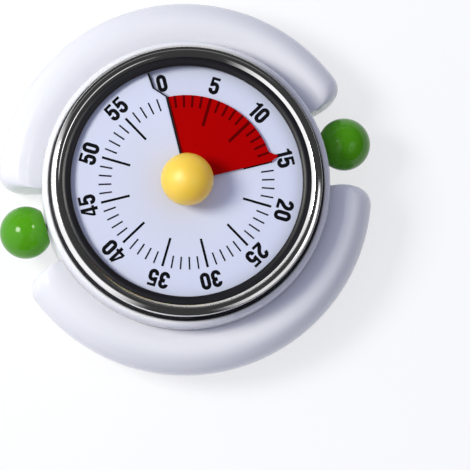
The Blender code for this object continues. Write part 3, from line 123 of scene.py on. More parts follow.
# Front
BEZEL_WALL = 0.0008  # wall of the bezel at its foot
LIP_CLEAR = 0.0004  # from the top of the dial up to the surround's lip
DIAL_STEPS = 180  # in one turn of the dial
DISC_STEPS = (156, 30)  # along the disc's plain rim and along its tab
TAB_CURVE = 1.4  # how hollow the back of the pointed tab is
MARK_INSET = 0.00006  # from the edge of the disc in to the end of its marks

# Dial figures, one unit high
STROKE = 0.215
SHARPEST = 0.35  # keeps the outside of a sharp turn from running far out
FIGURE_GAP = 0.070
FIGURE_WIDTH = {"0": 0.58, "1": 0.38, "2": 0.57, "3": 0.58, "4": 0.60, "5": 0.58}

# Stage
FLOOR_HALF = 3.0
KEY_TINT = (1.0, 0.995, 0.90)
SIDE_TINT = (0.96, 0.98, 1.0)
ROOM_BASE = 0.12  # parts of the room's light: the same all round, and from its bright side
ROOM_LOBE = 1.2
LOBE_BEGINS = -0.5  # cosine of the angle from the bright side where it begins and is full
LOBE_FULL = 0.9
WINDOW_RISE = 0.13  # how far the band of windows climbs across the room
WHITE = (1.0, 1.0, 1.0, 1.0)
BLACK = (0.0, 0.0, 0.0, 1.0)

# What metal and gloss show of the room: the name of each bright part's azimuth, the cosines
# about it where the part begins and is full, its lower and upper height, the width of its soft
# edges and its level.
ROOM_PARTS = (
    ("window_azimuth", -0.25, 0.30, 0.30, 0.46, 0.03, 1.0),
    ("wall_azimuth", 0.50, 0.88, -0.10, 0.985, 0.07, 1.0),
    ("screen_azimuth", 0.72, 0.95, 0.58, 0.95, 0.06, 0.80),
    ("strip_azimuth", 0.60, 0.85, 0.75, 0.86, 0.03, 0.20),
)


def length(label, told, value):
    """A length that the sidebar shows."""
    return bpy.props.FloatProperty(
        name=label, description=told, default=value, min=0.0, precision=5, unit="LENGTH"
    )


def angle(label, told, degrees):
    """An angle that the sidebar shows."""
    return bpy.props.FloatProperty(
        name=label,
        description=told,
        default=math.radians(degrees),
        unit="ROTATION",
        subtype="ANGLE",
    )


def colour(label, told, value):
    """A linear colour that the sidebar shows."""
    return bpy.props.FloatVectorProperty(
        name=label, description=told, default=value, min=0.0, max=1.0, size=3, subtype="COLOR"
    )


def number(label, told, value, least=0.0, most=10000.0):
    """A plain number that the sidebar shows."""
    return bpy.props.FloatProperty(
        name=label, description=told, default=value, min=least, max=most, precision=3
    )


def count(label, told, value):
    """A number of pieces or steps that the sidebar shows."""
    return bpy.props.IntProperty(name=label, description=told, default=value, min=1, max=720)


class TimerCase(bpy.types.PropertyGroup):
    """Sizes and colours of the white case, its grips and its balls."""

    facets: count("Facets", "Steps round the drum and the bezel", 180)
    drum_radius: length("Drum radius", "Outside of the drum", reach("drum_housing"))
    drum_wall: length("Drum wall", "Thickness of the drum's wall", 0.0022)
    drum_opening: length("Drum opening", "Radius of the hole in the drum's front", 0.0330)
    roll_inner: length("Roll inner", "Radius where the drum's rolled front edge begins", 0.03778)
    roll_crest: length("Roll crest", "Radius where that edge is highest", 0.03845)
    roll_height: length("Roll height", "Height of that edge over the drum's front", 0.0011)
    roll_outer: length("Roll outer", "Width of that edge's rounding down to the wall", 0.0009)
    roll_fall: length("Roll fall", "From the drum's front down to its upright wall", 0.0012)
    grip_radius: length("Grip radius", "Outside of the two grips", GRIP_RADIUS)
    grip_seam: length("Grip seam", "Seam between a grip and the drum", 0.00003)
    grip_half_angle: angle("Grip half angle", "From a grip's middle to its end", 75.0)
    grip_end_angle: angle("Grip end", "Part of a grip that its rounded end takes", 6.0)
    grip_widest: length("Grip widest", "Height where a grip is widest", 0.0115)
    grip_crest_inset: length("Grip crest inset", "From a grip's outside to its crest", 0.0060)
    grip_valley: length("Grip valley", "From the crest down to the foot beside the drum", 0.0032)
    ball_radius: length("Ball radius", "Radius of the green balls", BALL_RADIUS)
    ball_centre: length("Ball centre", "From the main axis to a ball's centre", BALL_CENTRE)
    ball_direction: angle("Ball direction", "From +X round to the right ball", BALL_DIRECTION)
    ball_height: length("Ball height", "Height of a ball's centre", 0.0130)
    white: colour("White", "Moulded case", (0.86, 0.86, 0.88))
    green: colour("Green", "The two balls", (0.085, 0.345, 0.009))


class TimerFront(bpy.types.PropertyGroup):
    """Sizes and colours of the bezel, the surround, the dial, the disc and the knob."""

    bezel_seam: length("Bezel seam", "Seam on both sides of the ring", 0.00004)
    bezel_chamfer: length("Bezel chamfer", "Width of the ring's leaning inner edge", 0.00065)
    bezel_flank: length("Bezel flank", "Width of the ring's rounded inner side", 0.00045)
    bezel_flank_lean: angle("Bezel flank lean", "Lean of the inner edge", 33.0)
    bezel_crest: length("Bezel crest", "Flat part between the ring's two sides", 0.0001)
    bezel_corner: length("Bezel corner", "Radius where the ring's outer side turns down", 0.03697)
    bezel_corner_lean: angle("Bezel corner lean", "Lean of the ring's outer side there", 31.0)
    bezel_corner_round: length("Bezel corner rounding", "Rounding of that corner", 0.00016)
    bezel_wall_lean: angle("Bezel wall lean", "Lean of the wall below that corner", 88.0)
    bezel_foot: length("Bezel foot", "Outside of the ring at its foot", 0.03718)
    # Painted shade: a black ring in the groove round the bezel's foot, black where that shaded
    # groove between the bezel and the drum looks dark
    gasket_width: length("Gasket width", "Black line round the ring", 0.00052)
    gasket_height: length("Gasket height", "Height of the black line", 0.0005)
    surround_radius: length("Surround radius", "Outside of the black ring", reach("dial_surround"))
    surround_wall: length("Surround wall", "Wall of the black ring", 0.0009)
    surround_crest: length("Surround crest", "Radius where the black ring is highest", 0.0331)
    surround_fall: length("Surround fall", "From there down to the ring's outside", 0.00030)
    lip_radius: length("Lip radius", "Edge of the black ring over the dial", 0.0317)
    lip_lean: angle("Lip lean", "Lean of the black ring at that edge", 42.0)
    dial_radius: length("Dial radius", "Edge of the dial", 0.0328)
    dial_hole: length("Dial hole", "Hole in the dial round the hub", 0.0050)
    dial_rise: length("Dial rise", "Height that the dial gains in one turn", 0.0020)
    dial_thickness: length("Dial thickness", "Thickness of the dial", 0.0005)
    slit_straight: length("Slit", "Length of the straight part of the slit", 0.0241)
    slit_jog_end: length("Slit jog", "Radius where the slit's sideways step ends", 0.0273)
    slit_jog_angle: angle("Slit jog angle", "Sideways step of the slit", 6.0)
    slit_bend: length("Slit bend", "How far the slit's edges bend towards each other", 0.00030)
    slit_bend_angle: angle("Slit bend angle", "Part of the dial that bends beside the slit", 30.0)
    # Painted shadow: a black strip under the slit's high edge that stands out beside it, dark where
    # that edge shades the red disc and the dial
    edging_reach: length("Edging", "How far the dark edging stands out of the slit", 0.00058)
    edging_depth: length("Edging depth", "How far that edging reaches under the dial", 0.00030)
    edging_thickness: length("Edging thickness", "Thickness of that edging", 0.00012)
    major_inner: length("Long mark", "Radius where the long marks begin", 0.01605)
    minor_inner: length("Short mark", "Radius where the short marks begin", 0.02060)
    marks_outer: length("Marks outer", "Radius where all marks end", 0.02410)
    major_width: length("Long mark width", "Width of the long marks", 0.00066)
    minor_width: length("Short mark width", "Width of the short marks", 0.00044)
    number_height: length("Number height", "Height of the dial numbers", 0.00475)
    number_circle: length("Number circle", "Radius of the middles of the numbers", 0.02770)
    zero_out: length("Zero farther out", "How much farther out the 0 beside the slit sits", 0.00042)
    disc_radius: length("Disc radius", "Edge of the red time disc", 0.0240)
    disc_thickness: length("Disc thickness", "Thickness of the red disc", 0.0004)
    disc_set: angle("Disc set", "Dial angle of the disc's front edge", 90.0)
    dim_spread: length("Dim spread", "Widening of the disc's marks, to each side", 0.00010)
    tab_reach: length("Tab reach", "How far the pointed tab stands out of the disc", 0.0022)
    tab_tip: angle("Tab tip", "From the front edge back to the tip", 2.4)
    tab_foot: angle("Tab foot", "From the front edge back to the tab's foot", 6.8)
    hub_radius: length("Hub radius", "Outside of the hub that carries the disc", reach("disc_hub"))
    hub_bore: length("Hub bore", "Bore of that hub round the arbor", 0.0018)
    knob_radius: length("Knob radius", "Radius of the ball knob", 0.0072)
    knob_bore: length("Knob bore", "Bore for the knob's insert", 0.0030)
    white: colour("Dial", "Face of the dial", (0.722, 0.758, 0.898))
    ink: colour("Ink", "Numbers and long marks", (0.002, 0.002, 0.004))
    pale_ink: colour("Pale ink", "Short marks", (0.012, 0.012, 0.020))
    red: colour("Red", "Time disc", (0.450, 0.0006, 0.0010))
    dim_red: colour("Dim red", "Marks that show on the red disc", (0.130, 0.0006, 0.001))
    yellow: colour("Yellow", "Knob", (0.960, 0.630, 0.055))
    # Black of the surround, and of the painted shade ring round the bezel and the painted shadow
    # strip along the slit
    black: colour("Black", "Surround, gasket line and edging", (0.008, 0.008, 0.012))
    chrome: colour("Chrome", "Bezel", (0.930, 0.925, 0.935))


class TimerStage(bpy.types.PropertyGroup):
    """Camera, lamps, floor and the light of the room."""

    tilt: angle("Tilt", "Lean of the view from straight above", 6.6)
    lean_side: angle("Lean side", "Turn of that lean towards the picture's left", 16.8)
    roll: angle("Roll", "Turn of the timer in the picture", 14.0)
    distance: length("Distance", "From the dial to the camera", 1.60)
    frame_width: length("Frame width", "Width of the picture at the dial", 0.12842)
    aim_right: length("Aim right", "From the timer to the picture's middle, rightwards", 0.01319)
    aim_down: length("Aim down", "From the timer to the picture's middle, downwards", 0.01459)
    key_power: number("Key power", "Power of the main soft lamp in watts", 4.15)
    key_size: length("Key size", "Side of the main soft lamp", 0.25)
    key_azimuth: angle("Key azimuth", "Direction of the main lamp from +X", 156.0)
    key_elevation: angle("Key elevation", "Height of the main lamp", 52.0)
    key_distance: length("Key distance", "Distance of the main lamp", 0.80)
    side_power: number("Side power", "Power of the small side lamp in watts", 0.28)
    side_size: length("Side size", "Side of the small side lamp", 0.30)
    side_azimuth: angle("Side azimuth", "Direction of the side lamp from +X", -19.0)
    side_elevation: angle("Side elevation", "Height of the side lamp", 56.0)
    side_distance: length("Side distance", "Distance of the side lamp", 1.0)
    room: colour("Room", "Light of the room", (0.70, 0.735, 1.0))
    room_strength: number("Room strength", "Level of the room's light", 0.51)
    floor: colour("Floor", "Pale floor", (0.90, 0.90, 0.91))
    floor_seen: colour("Floor seen", "The floor's own colour in the picture", (0.32, 0.32, 0.32))
    floor_lift: number("Floor lift", "White added to the floor in the picture", 0.69)
    dim_room: number("Dim room", "Level of the dark parts of the room that metal shows", 0.04)
    room_azimuth: angle("Room azimuth", "Direction from which the room is brightest", 146.0)
    room_elevation: angle("Room elevation", "Height from which the room is brightest", 50.0)
    wall_azimuth: angle("Wall azimuth", "Direction of the bright wall that metal shows", 181.0)
    screen_azimuth: angle("Screen azimuth", "Direction of the bright screen across from it", 316.0)
    strip_azimuth: angle("Strip azimuth", "Direction of the faint strip that metal shows", 84.0)
    window_azimuth: angle("Window azimuth", "Direction of the windows that metal shows", 136.0)
    window_climb: angle("Window climb", "Direction in which that band climbs", 226.0)


# Node groups


PLAIN_GREY = (0.8, 0.8, 0.8, 1.0)
WORN_LIGHTER = 1.15  # how much lighter a worn edge of plastic is
MASKED_OUTPUTS = [("Color", "NodeSocketColor"), ("Mask", "NodeSocketFloat")]
SURFACE_OUTPUTS = [
    ("Color", "NodeSocketColor"),
    ("Roughness", "NodeSocketFloat"),
    ("Normal", "NodeSocketVector"),
]


def new_group(name, inputs, outputs):
    """An empty shader node group with its sockets. An input is (name, kind, default)."""
    group = bpy.data.node_groups.new(name, "ShaderNodeTree")
    for label, kind, value in inputs:
        socket = group.interface.new_socket(name=label, in_out="INPUT", socket_type=kind)
        socket.default_value = value
    for label, kind in outputs:
        group.interface.new_socket(name=label, in_out="OUTPUT", socket_type=kind)
    return group, group.nodes.new("NodeGroupInput"), group.nodes.new("NodeGroupOutput")


def node(tree, kind, **settings):
    """A node with some of its settings and input values; a _ stands for a space in a name."""
    made = tree.nodes.new(kind)
    for key, value in settings.items():
        if hasattr(made, key):
            setattr(made, key, value)
        else:
            made.inputs[key.replace("_", " ")].default_value = value
    return made


def join(tree, *links):
    """Link pairs of sockets."""
    for start, end in links:
        tree.links.new(start, end)


def sums(tree, operation, first, second, clamp=False):
    """A Math node on two sockets or numbers. Gives its output."""
    made = node(tree, "ShaderNodeMath", operation=operation, use_clamp=clamp)
    for place, value in enumerate((first, second)):
        if isinstance(value, (int, float)):
            made.inputs[place].default_value = value
        else:
            tree.links.new(value, made.inputs[place])
    return made.outputs[0]


def mixed(tree, factor, first, second):
    """A colour Mix node. Gives its output."""
    made = node(tree, "ShaderNodeMix", data_type="RGBA")
    for place, value in ((0, factor), (6, first), (7, second)):
        if isinstance(value, bpy.types.NodeSocket):
            tree.links.new(value, made.inputs[place])
        else:
            made.inputs[place].default_value = value
    return made.outputs[2]


def moulding_group():
    """Faint orange peel, flow marks and handling of moulded plastic."""
    group, given, out = new_group(
        "moulded surface",
        [
            ("Color", "NodeSocketColor", PLAIN_GREY),
            ("Shade", "NodeSocketFloat", 0.04),
            ("Roughness", "NodeSocketFloat", 0.2),
            ("Handling", "NodeSocketFloat", 0.1),
            ("Peel Size", "NodeSocketFloat", 900.0),
            ("Peel Depth", "NodeSocketFloat", 0.00001),
        ],
        SURFACE_OUTPUTS,
    )
    place = node(group, "ShaderNodeTexCoord")
    flow = node(group, "ShaderNodeTexNoise", Scale=38.0, Detail=3.0, Roughness=0.5)
    smear = node(
        group, "ShaderNodeTexNoise", Scale=130.0, Detail=5.0, Roughness=0.6, Distortion=0.6
    )
    peel = node(group, "ShaderNodeTexNoise", Detail=2.0, Roughness=0.4)
    bump = node(group, "ShaderNodeBump", Strength=1.0)
    join(
        group,
        (place.outputs["Object"], flow.inputs["Vector"]),
        (place.outputs["Object"], smear.inputs["Vector"]),
        (place.outputs["Object"], peel.inputs["Vector"]),
        (given.outputs["Peel Size"], peel.inputs["Scale"]),
        (given.outputs["Peel Depth"], bump.inputs["Distance"]),
        (peel.outputs["Fac"], bump.inputs["Height"]),
        (bump.outputs["Normal"], out.inputs["Normal"]),
    )
    drift = sums(group, "MULTIPLY", flow.outputs["Fac"], given.outputs["Shade"])
    touched = sums(group, "MULTIPLY", smear.outputs["Fac"], given.outputs["Handling"])
    join(
        group,
        (mixed(group, drift, given.outputs["Color"], BLACK), out.inputs["Color"]),
        (sums(group, "ADD", touched, given.outputs["Roughness"], True), out.inputs["Roughness"]),
    )
    return group


def dust_group():
    """Fine dust that settles on what faces up and gathers in low places."""
    group, given, out = new_group(
        "settled dust",
        [
            ("Color", "NodeSocketColor", PLAIN_GREY),
            ("Dust Color", "NodeSocketColor", (0.55, 0.54, 0.52, 1.0)),
            ("Amount", "NodeSocketFloat", 0.1),
            ("Speck Size", "NodeSocketFloat", 1600.0),
        ],
        MASKED_OUTPUTS,
    )
    place = node(group, "ShaderNodeTexCoord")
    axes = node(group, "ShaderNodeSeparateXYZ")
    specks = node(group, "ShaderNodeTexNoise", Detail=4.0, Roughness=0.7)
    patches = node(group, "ShaderNodeTexNoise", Scale=55.0, Detail=2.0)
    few = node(group, "ShaderNodeMapRange", From_Min=0.52, From_Max=0.80)
    join(
        group,
        (place.outputs["Normal"], axes.inputs["Vector"]),
        (place.outputs["Object"], specks.inputs["Vector"]),
        (place.outputs["Object"], patches.inputs["Vector"]),
        (given.outputs["Speck Size"], specks.inputs["Scale"]),
        (specks.outputs["Fac"], few.inputs["Value"]),
    )
    facing_up = sums(group, "MAXIMUM", axes.outputs["Z"], 0.0)
    spread = sums(group, "MULTIPLY", few.outputs["Result"], patches.outputs["Fac"])
    settled = sums(group, "MULTIPLY", spread, facing_up)
    mask = sums(group, "MULTIPLY", settled, given.outputs["Amount"], True)
    dusted = mixed(group, mask, given.outputs["Color"], given.outputs["Dust Color"])
    join(group, (mask, out.inputs["Mask"]), (dusted, out.inputs["Color"]))
    return group


def metal_group():
    """Tool lines, hairline scratches and faint tarnish of a worked metal."""
    group, given, out = new_group(
        "worked metal",
        [
            ("Color", "NodeSocketColor", PLAIN_GREY),
            ("Tarnish", "NodeSocketColor", (0.4, 0.36, 0.30, 1.0)),
            ("Tarnish Amount", "NodeSocketFloat", 0.1),
            ("Roughness", "NodeSocketFloat", 0.2),
            ("Scratches", "NodeSocketFloat", 0.1),
            ("Line Density", "NodeSocketFloat", 9000.0),
            ("Line Depth", "NodeSocketFloat", 0.000004),
        ],
        SURFACE_OUTPUTS,
    )
    place = node(group, "ShaderNodeTexCoord")
    stretch = node(group, "ShaderNodeMapping", Scale=(1.0, 0.06, 1.0), Rotation=(0.0, 0.0, 0.7))
    hair = node(group, "ShaderNodeTexNoise", Scale=1500.0, Detail=3.0, Roughness=0.7)
    stain = node(
        group, "ShaderNodeTexNoise", Scale=90.0, Detail=6.0, Roughness=0.65, Distortion=0.8
    )
    lines = node(group, "ShaderNodeTexWave", wave_type="RINGS", rings_direction="Z", Distortion=0.4)
    bump = node(group, "ShaderNodeBump", Strength=1.0)
    join(
        group,
        (place.outputs["Object"], stretch.inputs["Vector"]),
        (stretch.outputs["Vector"], hair.inputs["Vector"]),
        (place.outputs["Object"], stain.inputs["Vector"]),
        (place.outputs["Object"], lines.inputs["Vector"]),
        (given.outputs["Line Density"], lines.inputs["Scale"]),
        (given.outputs["Line Depth"], bump.inputs["Distance"]),
        (lines.outputs["Fac"], bump.inputs["Height"]),
        (bump.outputs["Normal"], out.inputs["Normal"]),
    )
    spots = sums(group, "POWER", stain.outputs["Fac"], 3.0)
    stained = sums(group, "MULTIPLY", spots, given.outputs["Tarnish Amount"])
    scored = sums(group, "MULTIPLY", hair.outputs["Fac"], given.outputs["Scratches"])
    dulled = mixed(group, stained, given.outputs["Color"], given.outputs["Tarnish"])
    join(
        group,
        (dulled, out.inputs["Color"]),
        (sums(group, "ADD", scored, given.outputs["Roughness"], True), out.inputs["Roughness"]),
    )
    return group


def wear_group():
    """Edges that hands have polished: a mask on the convex edges, broken up by noise."""
    group, given, out = new_group(
        "edge wear",
        [
            ("Color", "NodeSocketColor", PLAIN_GREY),
            ("Worn Color", "NodeSocketColor", (0.9, 0.9, 0.9, 1.0)),
            ("Amount", "NodeSocketFloat", 0.3),
            ("Break Up", "NodeSocketFloat", 300.0),
        ],
        MASKED_OUTPUTS,
    )
    place = node(group, "ShaderNodeTexCoord")
    shape = node(group, "ShaderNodeNewGeometry")
    patches = node(group, "ShaderNodeTexNoise", Detail=5.0, Roughness=0.7)
    edge = node(group, "ShaderNodeMapRange", From_Min=0.52, From_Max=0.62)
    join(
        group,
        (place.outputs["Object"], patches.inputs["Vector"]),
        (given.outputs["Break Up"], patches.inputs["Scale"]),
        (shape.outputs["Pointiness"], edge.inputs["Value"]),
    )
    worn = sums(group, "MULTIPLY", edge.outputs["Result"], patches.outputs["Fac"])
    mask = sums(group, "MULTIPLY", worn, given.outputs["Amount"], True)
    rubbed = mixed(group, mask, given.outputs["Color"], given.outputs["Worn Color"])
    join(group, (mask, out.inputs["Mask"]), (rubbed, out.inputs["Color"]))
    return group


EFFECTS = {
    "moulded surface": moulding_group,
    "settled dust": dust_group,
    "worked metal": metal_group,
    "edge wear": wear_group,
}


def effect(tree, name, **values):
    """One of the shared effects, placed in a material with its own values."""
    group = bpy.data.node_groups.get(name) or EFFECTS[name]()
    return node(tree, "ShaderNodeGroup", node_tree=group, **values)


# Materials


def opened(name):
    """A new material with its node tree and its Principled shader."""
    made = bpy.data.materials.new(name)
    made.use_nodes = True
    return made, made.node_tree, made.node_tree.nodes["Principled BSDF"]


def plastic(
    name,
    base,
    roughness,
    handling=0.08,
    peel=0.000012,
    dust=0.10,
    gloss=0.5,
    shade=0.05,
    peel_size=900.0,
    wear=0.25,
):
    """Moulded plastic with a faint peel, handling marks, worn edges and a little dust."""
    known = bpy.data.materials.get(name)
    if known:
        return known
    made, tree, shader = opened(name)
    surface = effect(
        tree,
        "moulded surface",
        Color=(*base, 1.0),
        Shade=shade,
        Roughness=roughness,
        Handling=handling,
        Peel_Size=peel_size,
        Peel_Depth=peel,
    )
    lighter = [min(1.0, part * WORN_LIGHTER) for part in base]
    worn = effect(tree, "edge wear", Worn_Color=(*lighter, 1.0), Amount=wear)
    dusty = effect(tree, "settled dust", Amount=dust)
    join(
        tree,
        (surface.outputs["Color"], worn.inputs["Color"]),
        (worn.outputs["Color"], dusty.inputs["Color"]),
        (dusty.outputs["Color"], shader.inputs["Base Color"]),
        (surface.outputs["Roughness"], shader.inputs["Roughness"]),
        (surface.outputs["Normal"], shader.inputs["Normal"]),
    )
    shader.inputs["Specular IOR Level"].default_value = gloss
    made.diffuse_color = (*base, 1.0)
    return made


def metal(
    name,
    base,
    roughness,
    tarnish,
    stain=0.15,
    scratches=0.08,
    density=9000.0,
    depth=0.000003,
    dust=0.03,
):
    """Worked or plated metal with tarnish, scratches, tool lines and a little dust."""
    known = bpy.data.materials.get(name)
    if known:
        return known
    made, tree, shader = opened(name)
    surface = effect(
        tree,
        "worked metal",
        Color=(*base, 1.0),
        Tarnish=(*tarnish, 1.0),
        Tarnish_Amount=stain,
        Roughness=roughness,
        Scratches=scratches,
        Line_Density=density,
        Line_Depth=depth,
    )
    dusty = effect(tree, "settled dust", Amount=dust)
    join(
        tree,
        (surface.outputs["Color"], dusty.inputs["Color"]),
        (dusty.outputs["Color"], shader.inputs["Base Color"]),
        (surface.outputs["Roughness"], shader.inputs["Roughness"]),
        (surface.outputs["Normal"], shader.inputs["Normal"]),
    )
    shader.inputs["Metallic"].default_value = 1.0
    made.diffuse_color = (*base, 1.0)
    return made


def white_plastic(context):
    """Glossy white of the case and the grips."""
    return plastic(
        "glossy white plastic",
        context.scene.timer_case.white,
        roughness=0.22,
        handling=0.03,
        peel=0.000004,
        dust=0.01,
        gloss=0.34,
        shade=0.02,
        wear=0.03,
    )


def dial_sheet(context):
    """Pale satin sheet of the dial."""
    front = context.scene.timer_front
    return plastic(
        "pale dial sheet",
        front.white,
        roughness=0.50,
        handling=0.06,
        peel=0.000003,
        dust=0.02,
        gloss=0.25,
        shade=0.02,
        peel_size=2600.0,
        wear=0.05,
    )


def inner_plastic():
    """Plain white of the pieces inside."""
    return plastic(
        "inner white plastic", (0.72, 0.72, 0.74), roughness=0.35, handling=0.1, peel=0.00001
    )


def black_plastic(context):
    """Satin black of the surround, and of the black ring round the bezel and the strip along the
    slit, both painted shade.
    """
    return plastic(
        "satin black plastic",
        context.scene.timer_front.black,
        roughness=0.34,
        handling=0.10,
        peel=0.000006,
        dust=0.03,
        gloss=0.35,
    )


def red_plastic(name, base, **values):
    """Satin red of the time disc and of the marks on it."""
    return plastic(
        name,
        base,
        roughness=0.42,
        handling=0.08,
        peel=0.000003,
        dust=0.001,
        gloss=0.01,
        **values,
    )


def dial_ink(name, base):
    """Matt ink of the marks and numbers."""
    return plastic(
        name, base, roughness=0.55, handling=0.05, peel=0.000002, dust=0.005, gloss=0.10
    )


def green_plastic(context):
    """Glossy green of the two balls."""
    return plastic(
        "glossy green plastic",
        context.scene.timer_case.green,
        roughness=0.10,
        handling=0.04,
        peel=0.000002,
        dust=0.005,
        gloss=0.28,
        wear=0.05,
    )


def yellow_plastic(context):
    """Satin yellow of the knob, with subsurface scattering and a faint painted glow on its shaded
    side.
    """
    paint = plastic(
        "satin yellow plastic",
        context.scene.timer_front.yellow,
        roughness=0.44,
        handling=0.08,
        peel=0.000006,
        dust=0.01,
        gloss=0.8,
        shade=0.03,
        wear=0.02,
    )
    shader = paint.node_tree.nodes["Principled BSDF"]
    for socket, value in (
        ("Subsurface Weight", 0.9),
        ("Subsurface Radius", (1.0, 0.5, 0.12)),
        ("Subsurface Scale", 0.007),
        ("Coat Weight", 0.60),
        ("Coat Roughness", 0.45),
        # Painted glow: a faint orange emission that lightens the knob's shaded side
        ("Emission Color", (1.0, 0.50, 0.0, 1.0)),
        ("Emission Strength", 0.13),
    ):
        shader.inputs[socket].default_value = value
    return paint


def steel():
    """Turned steel of the arbors and screws."""
    return metal("turned steel", (0.56, 0.57, 0.60), roughness=0.28, tarnish=(0.30, 0.27, 0.24))


def brass():
    """Stamped brass of the plates and wheels."""
    return metal(
        "stamped brass",
        (0.78, 0.58, 0.26),
        roughness=0.26,
        tarnish=(0.34, 0.20, 0.08),
        stain=0.35,
        scratches=0.14,
        density=5000.0,
    )


def nickel():
    """Nickel plating of the bell and the magnets."""
    return metal(
        "nickel plating",
        (0.66, 0.65, 0.62),
        roughness=0.18,
        tarnish=(0.40, 0.36, 0.30),
        stain=0.2,
        scratches=0.10,
    )


def chrome(context):
    """Bright chrome of the bezel."""
    return metal(
        "bright chrome",
        context.scene.timer_front.chrome,
        roughness=0.04,
        tarnish=(0.52, 0.48, 0.42),
        stain=0.06,
        scratches=0.05,
        density=7000.0,
        depth=0.0000005,
    )


# Mesh tools


def rounded(centre, wide, tall, start, end, steps=10):
    """Points along an arc of an ellipse, angles in degrees from +X."""
    points = []
    for step in range(steps + 1):
        turn = math.radians(start + (end - start) * step / steps)
        points.append((centre[0] + wide * math.cos(turn), centre[1] + tall * math.sin(turn)))
    return points


def crowned(crest, radius, start, end, steps):
    """Points along an arc whose top is at crest, from one lean outwards to another."""
    points = []
    for step in range(steps + 1):
        lean = start + (end - start) * step / steps
        points.append(
            (crest[0] + radius * math.sin(lean), crest[1] - radius * (1 - math.cos(lean)))
        )
    return points


def sleeve(inner, outer, back, front):
    """The profile of a plain ring or disc between two radii and two heights."""
    return [(inner, back), (outer, back), (outer, front), (inner, front)]


def lathe(profile, steps, centre=(0.0, 0.0)):
    """A bmesh spun about a vertical axis from (radius, height) points."""
    body = bmesh.new()
    points = [body.verts.new((radius, 0.0, height)) for radius, height in profile]
    edges = [body.edges.new(pair) for pair in zip(points, points[1:])]
    if profile[0][0] > 0:
        edges.append(body.edges.new((points[-1], points[0])))
    bmesh.ops.spin(
        body,
        geom=points + edges,
        cent=(0, 0, 0),
        axis=(0, 0, 1),
        angle=math.tau,
        steps=steps,
        use_merge=True,
    )
    bmesh.ops.remove_doubles(body, verts=body.verts, dist=MERGE)
    bmesh.ops.translate(body, verts=body.verts, vec=(*centre, 0.0))
    return body


def soften(body, radius, segments=3, least=25.0):
    """Round the edges of a bmesh that are sharper than so many degrees."""
    bmesh.ops.recalc_face_normals(body, faces=body.faces)
    edges = [
        edge
        for edge in body.edges
        if edge.is_manifold and edge.calc_face_angle(0.0) > math.radians(least)
    ]
    bmesh.ops.bevel(
        body,
        geom=edges,
        offset=radius,
        offset_type="OFFSET",
        segments=segments,
        profile=0.5,
        affect="EDGES",
        clamp_overlap=True,
        material=-1,
    )


def turned(body, verts, angle, axis="Z"):
    """Turn points of a bmesh about an axis through the origin."""
    bmesh.ops.rotate(body, verts=verts, cent=(0, 0, 0), matrix=Matrix.Rotation(angle, 3, axis))


def ring_of(centre, radius, steps):
    """Points round a circle."""
    return [
        (
            centre[0] + radius * math.cos(math.tau * step / steps),
            centre[1] + radius * math.sin(math.tau * step / steps),
        )
        for step in range(steps)
    ]


def loop_at(body, points, height):
    """A closed loop of edges at a height."""
    verts = [body.verts.new((x, y, height)) for x, y in points]
    return [body.edges.new(pair) for pair in zip(verts, verts[1:] + verts[:1])]


def raised(body, edges, rise, scale=1.0, centre=(0.0, 0.0)):
    """Extrude a loop of edges upwards, scaled about a centre. Gives the new edges."""
    grown = bmesh.ops.extrude_edge_only(body, edges=edges)["geom"]
    verts = [item for item in grown if isinstance(item, bmesh.types.BMVert)]
    bmesh.ops.translate(body, verts=verts, vec=(0.0, 0.0, rise))
    bmesh.ops.scale(
        body,
        verts=verts,
        vec=(scale, scale, 1.0),
        space=Matrix.Translation((-centre[0], -centre[1], 0.0)),
    )
    return [item for item in grown if isinstance(item, bmesh.types.BMEdge)]


def filled(body, edges):
    """Close flat loops of edges, one inside the other."""
    bmesh.ops.triangle_fill(body, use_beauty=True, edges=edges)


def flat_piece(outline, holes, back, front):
    """A flat closed piece from back to front, with holes through it."""
    body = bmesh.new()
    lower = []
    upper = []
    for points in [outline] + holes:
        edges = loop_at(body, points, back)
        lower += edges
        upper += raised(body, edges, front - back)
    filled(body, lower)
    filled(body, upper)
    return body


SHARP = math.radians(38.0)  # edges sharper than this stay sharp in the shading


def finished(body, name, paint, rides_on, finish, *stands_for):
    """Turn a bmesh into a shown piece of the timer."""
    bmesh.ops.recalc_face_normals(body, faces=body.faces)
    mesh = bpy.data.meshes.new(name)
    body.to_mesh(mesh)
    body.free()
    mesh.shade_smooth()
    mesh.set_sharp_from_angle(angle=SHARP)
    mesh.materials.append(paint)
    piece = bpy.data.objects.new(name, mesh)
    bpy.context.scene.collection.objects.link(piece)
    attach(piece, rides_on)
    if stands_for:
        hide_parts(*stands_for)
    return piece


def gather(bodies):
    """Join several bmeshes into one."""
    whole = bmesh.new()
    for body in bodies:
        mesh = bpy.data.meshes.new("gathered")
        body.to_mesh(mesh)
        body.free()
        whole.from_mesh(mesh)
        bpy.data.meshes.remove(mesh)
    return whole


def dial_angle(place):
    """The dial angle of a place, in degrees from 0 up to 360."""
    return math.degrees(math.atan2(place.x, place.y)) % 360.0


def past_straight(front, radius):
    """How far along the slit's sideways step a radius is, from 0 to 1."""
    share = (radius - front.slit_straight) / (front.slit_jog_end - front.slit_straight)
    return min(1.0, max(0.0, share))


def slit_angle(front, radius):
    """The dial angle of the slit at a radius, in degrees."""
    return -math.degrees(front.slit_jog_angle) * past_straight(front, radius)


def bend(front, radius, past):
    """How far the dial bends towards the slit's other edge, so many degrees past the slit."""
    near = 1 - min(1.0, min(past, 360.0 - past) / math.degrees(front.slit_bend_angle))
    near = near * near * (3 - 2 * near) * past_straight(front, radius) * front.slit_bend
    return near if past < 180.0 else -near


def dial_height(front, place):
    """How far the dial has climbed at a place, from its lowest edge."""
    radius = place.xy.length
    slit = slit_angle(front, radius)
    past = (dial_angle(place) - slit) % 360.0
    return front.dial_rise * (past + slit) / 360.0 + bend(front, radius, past)


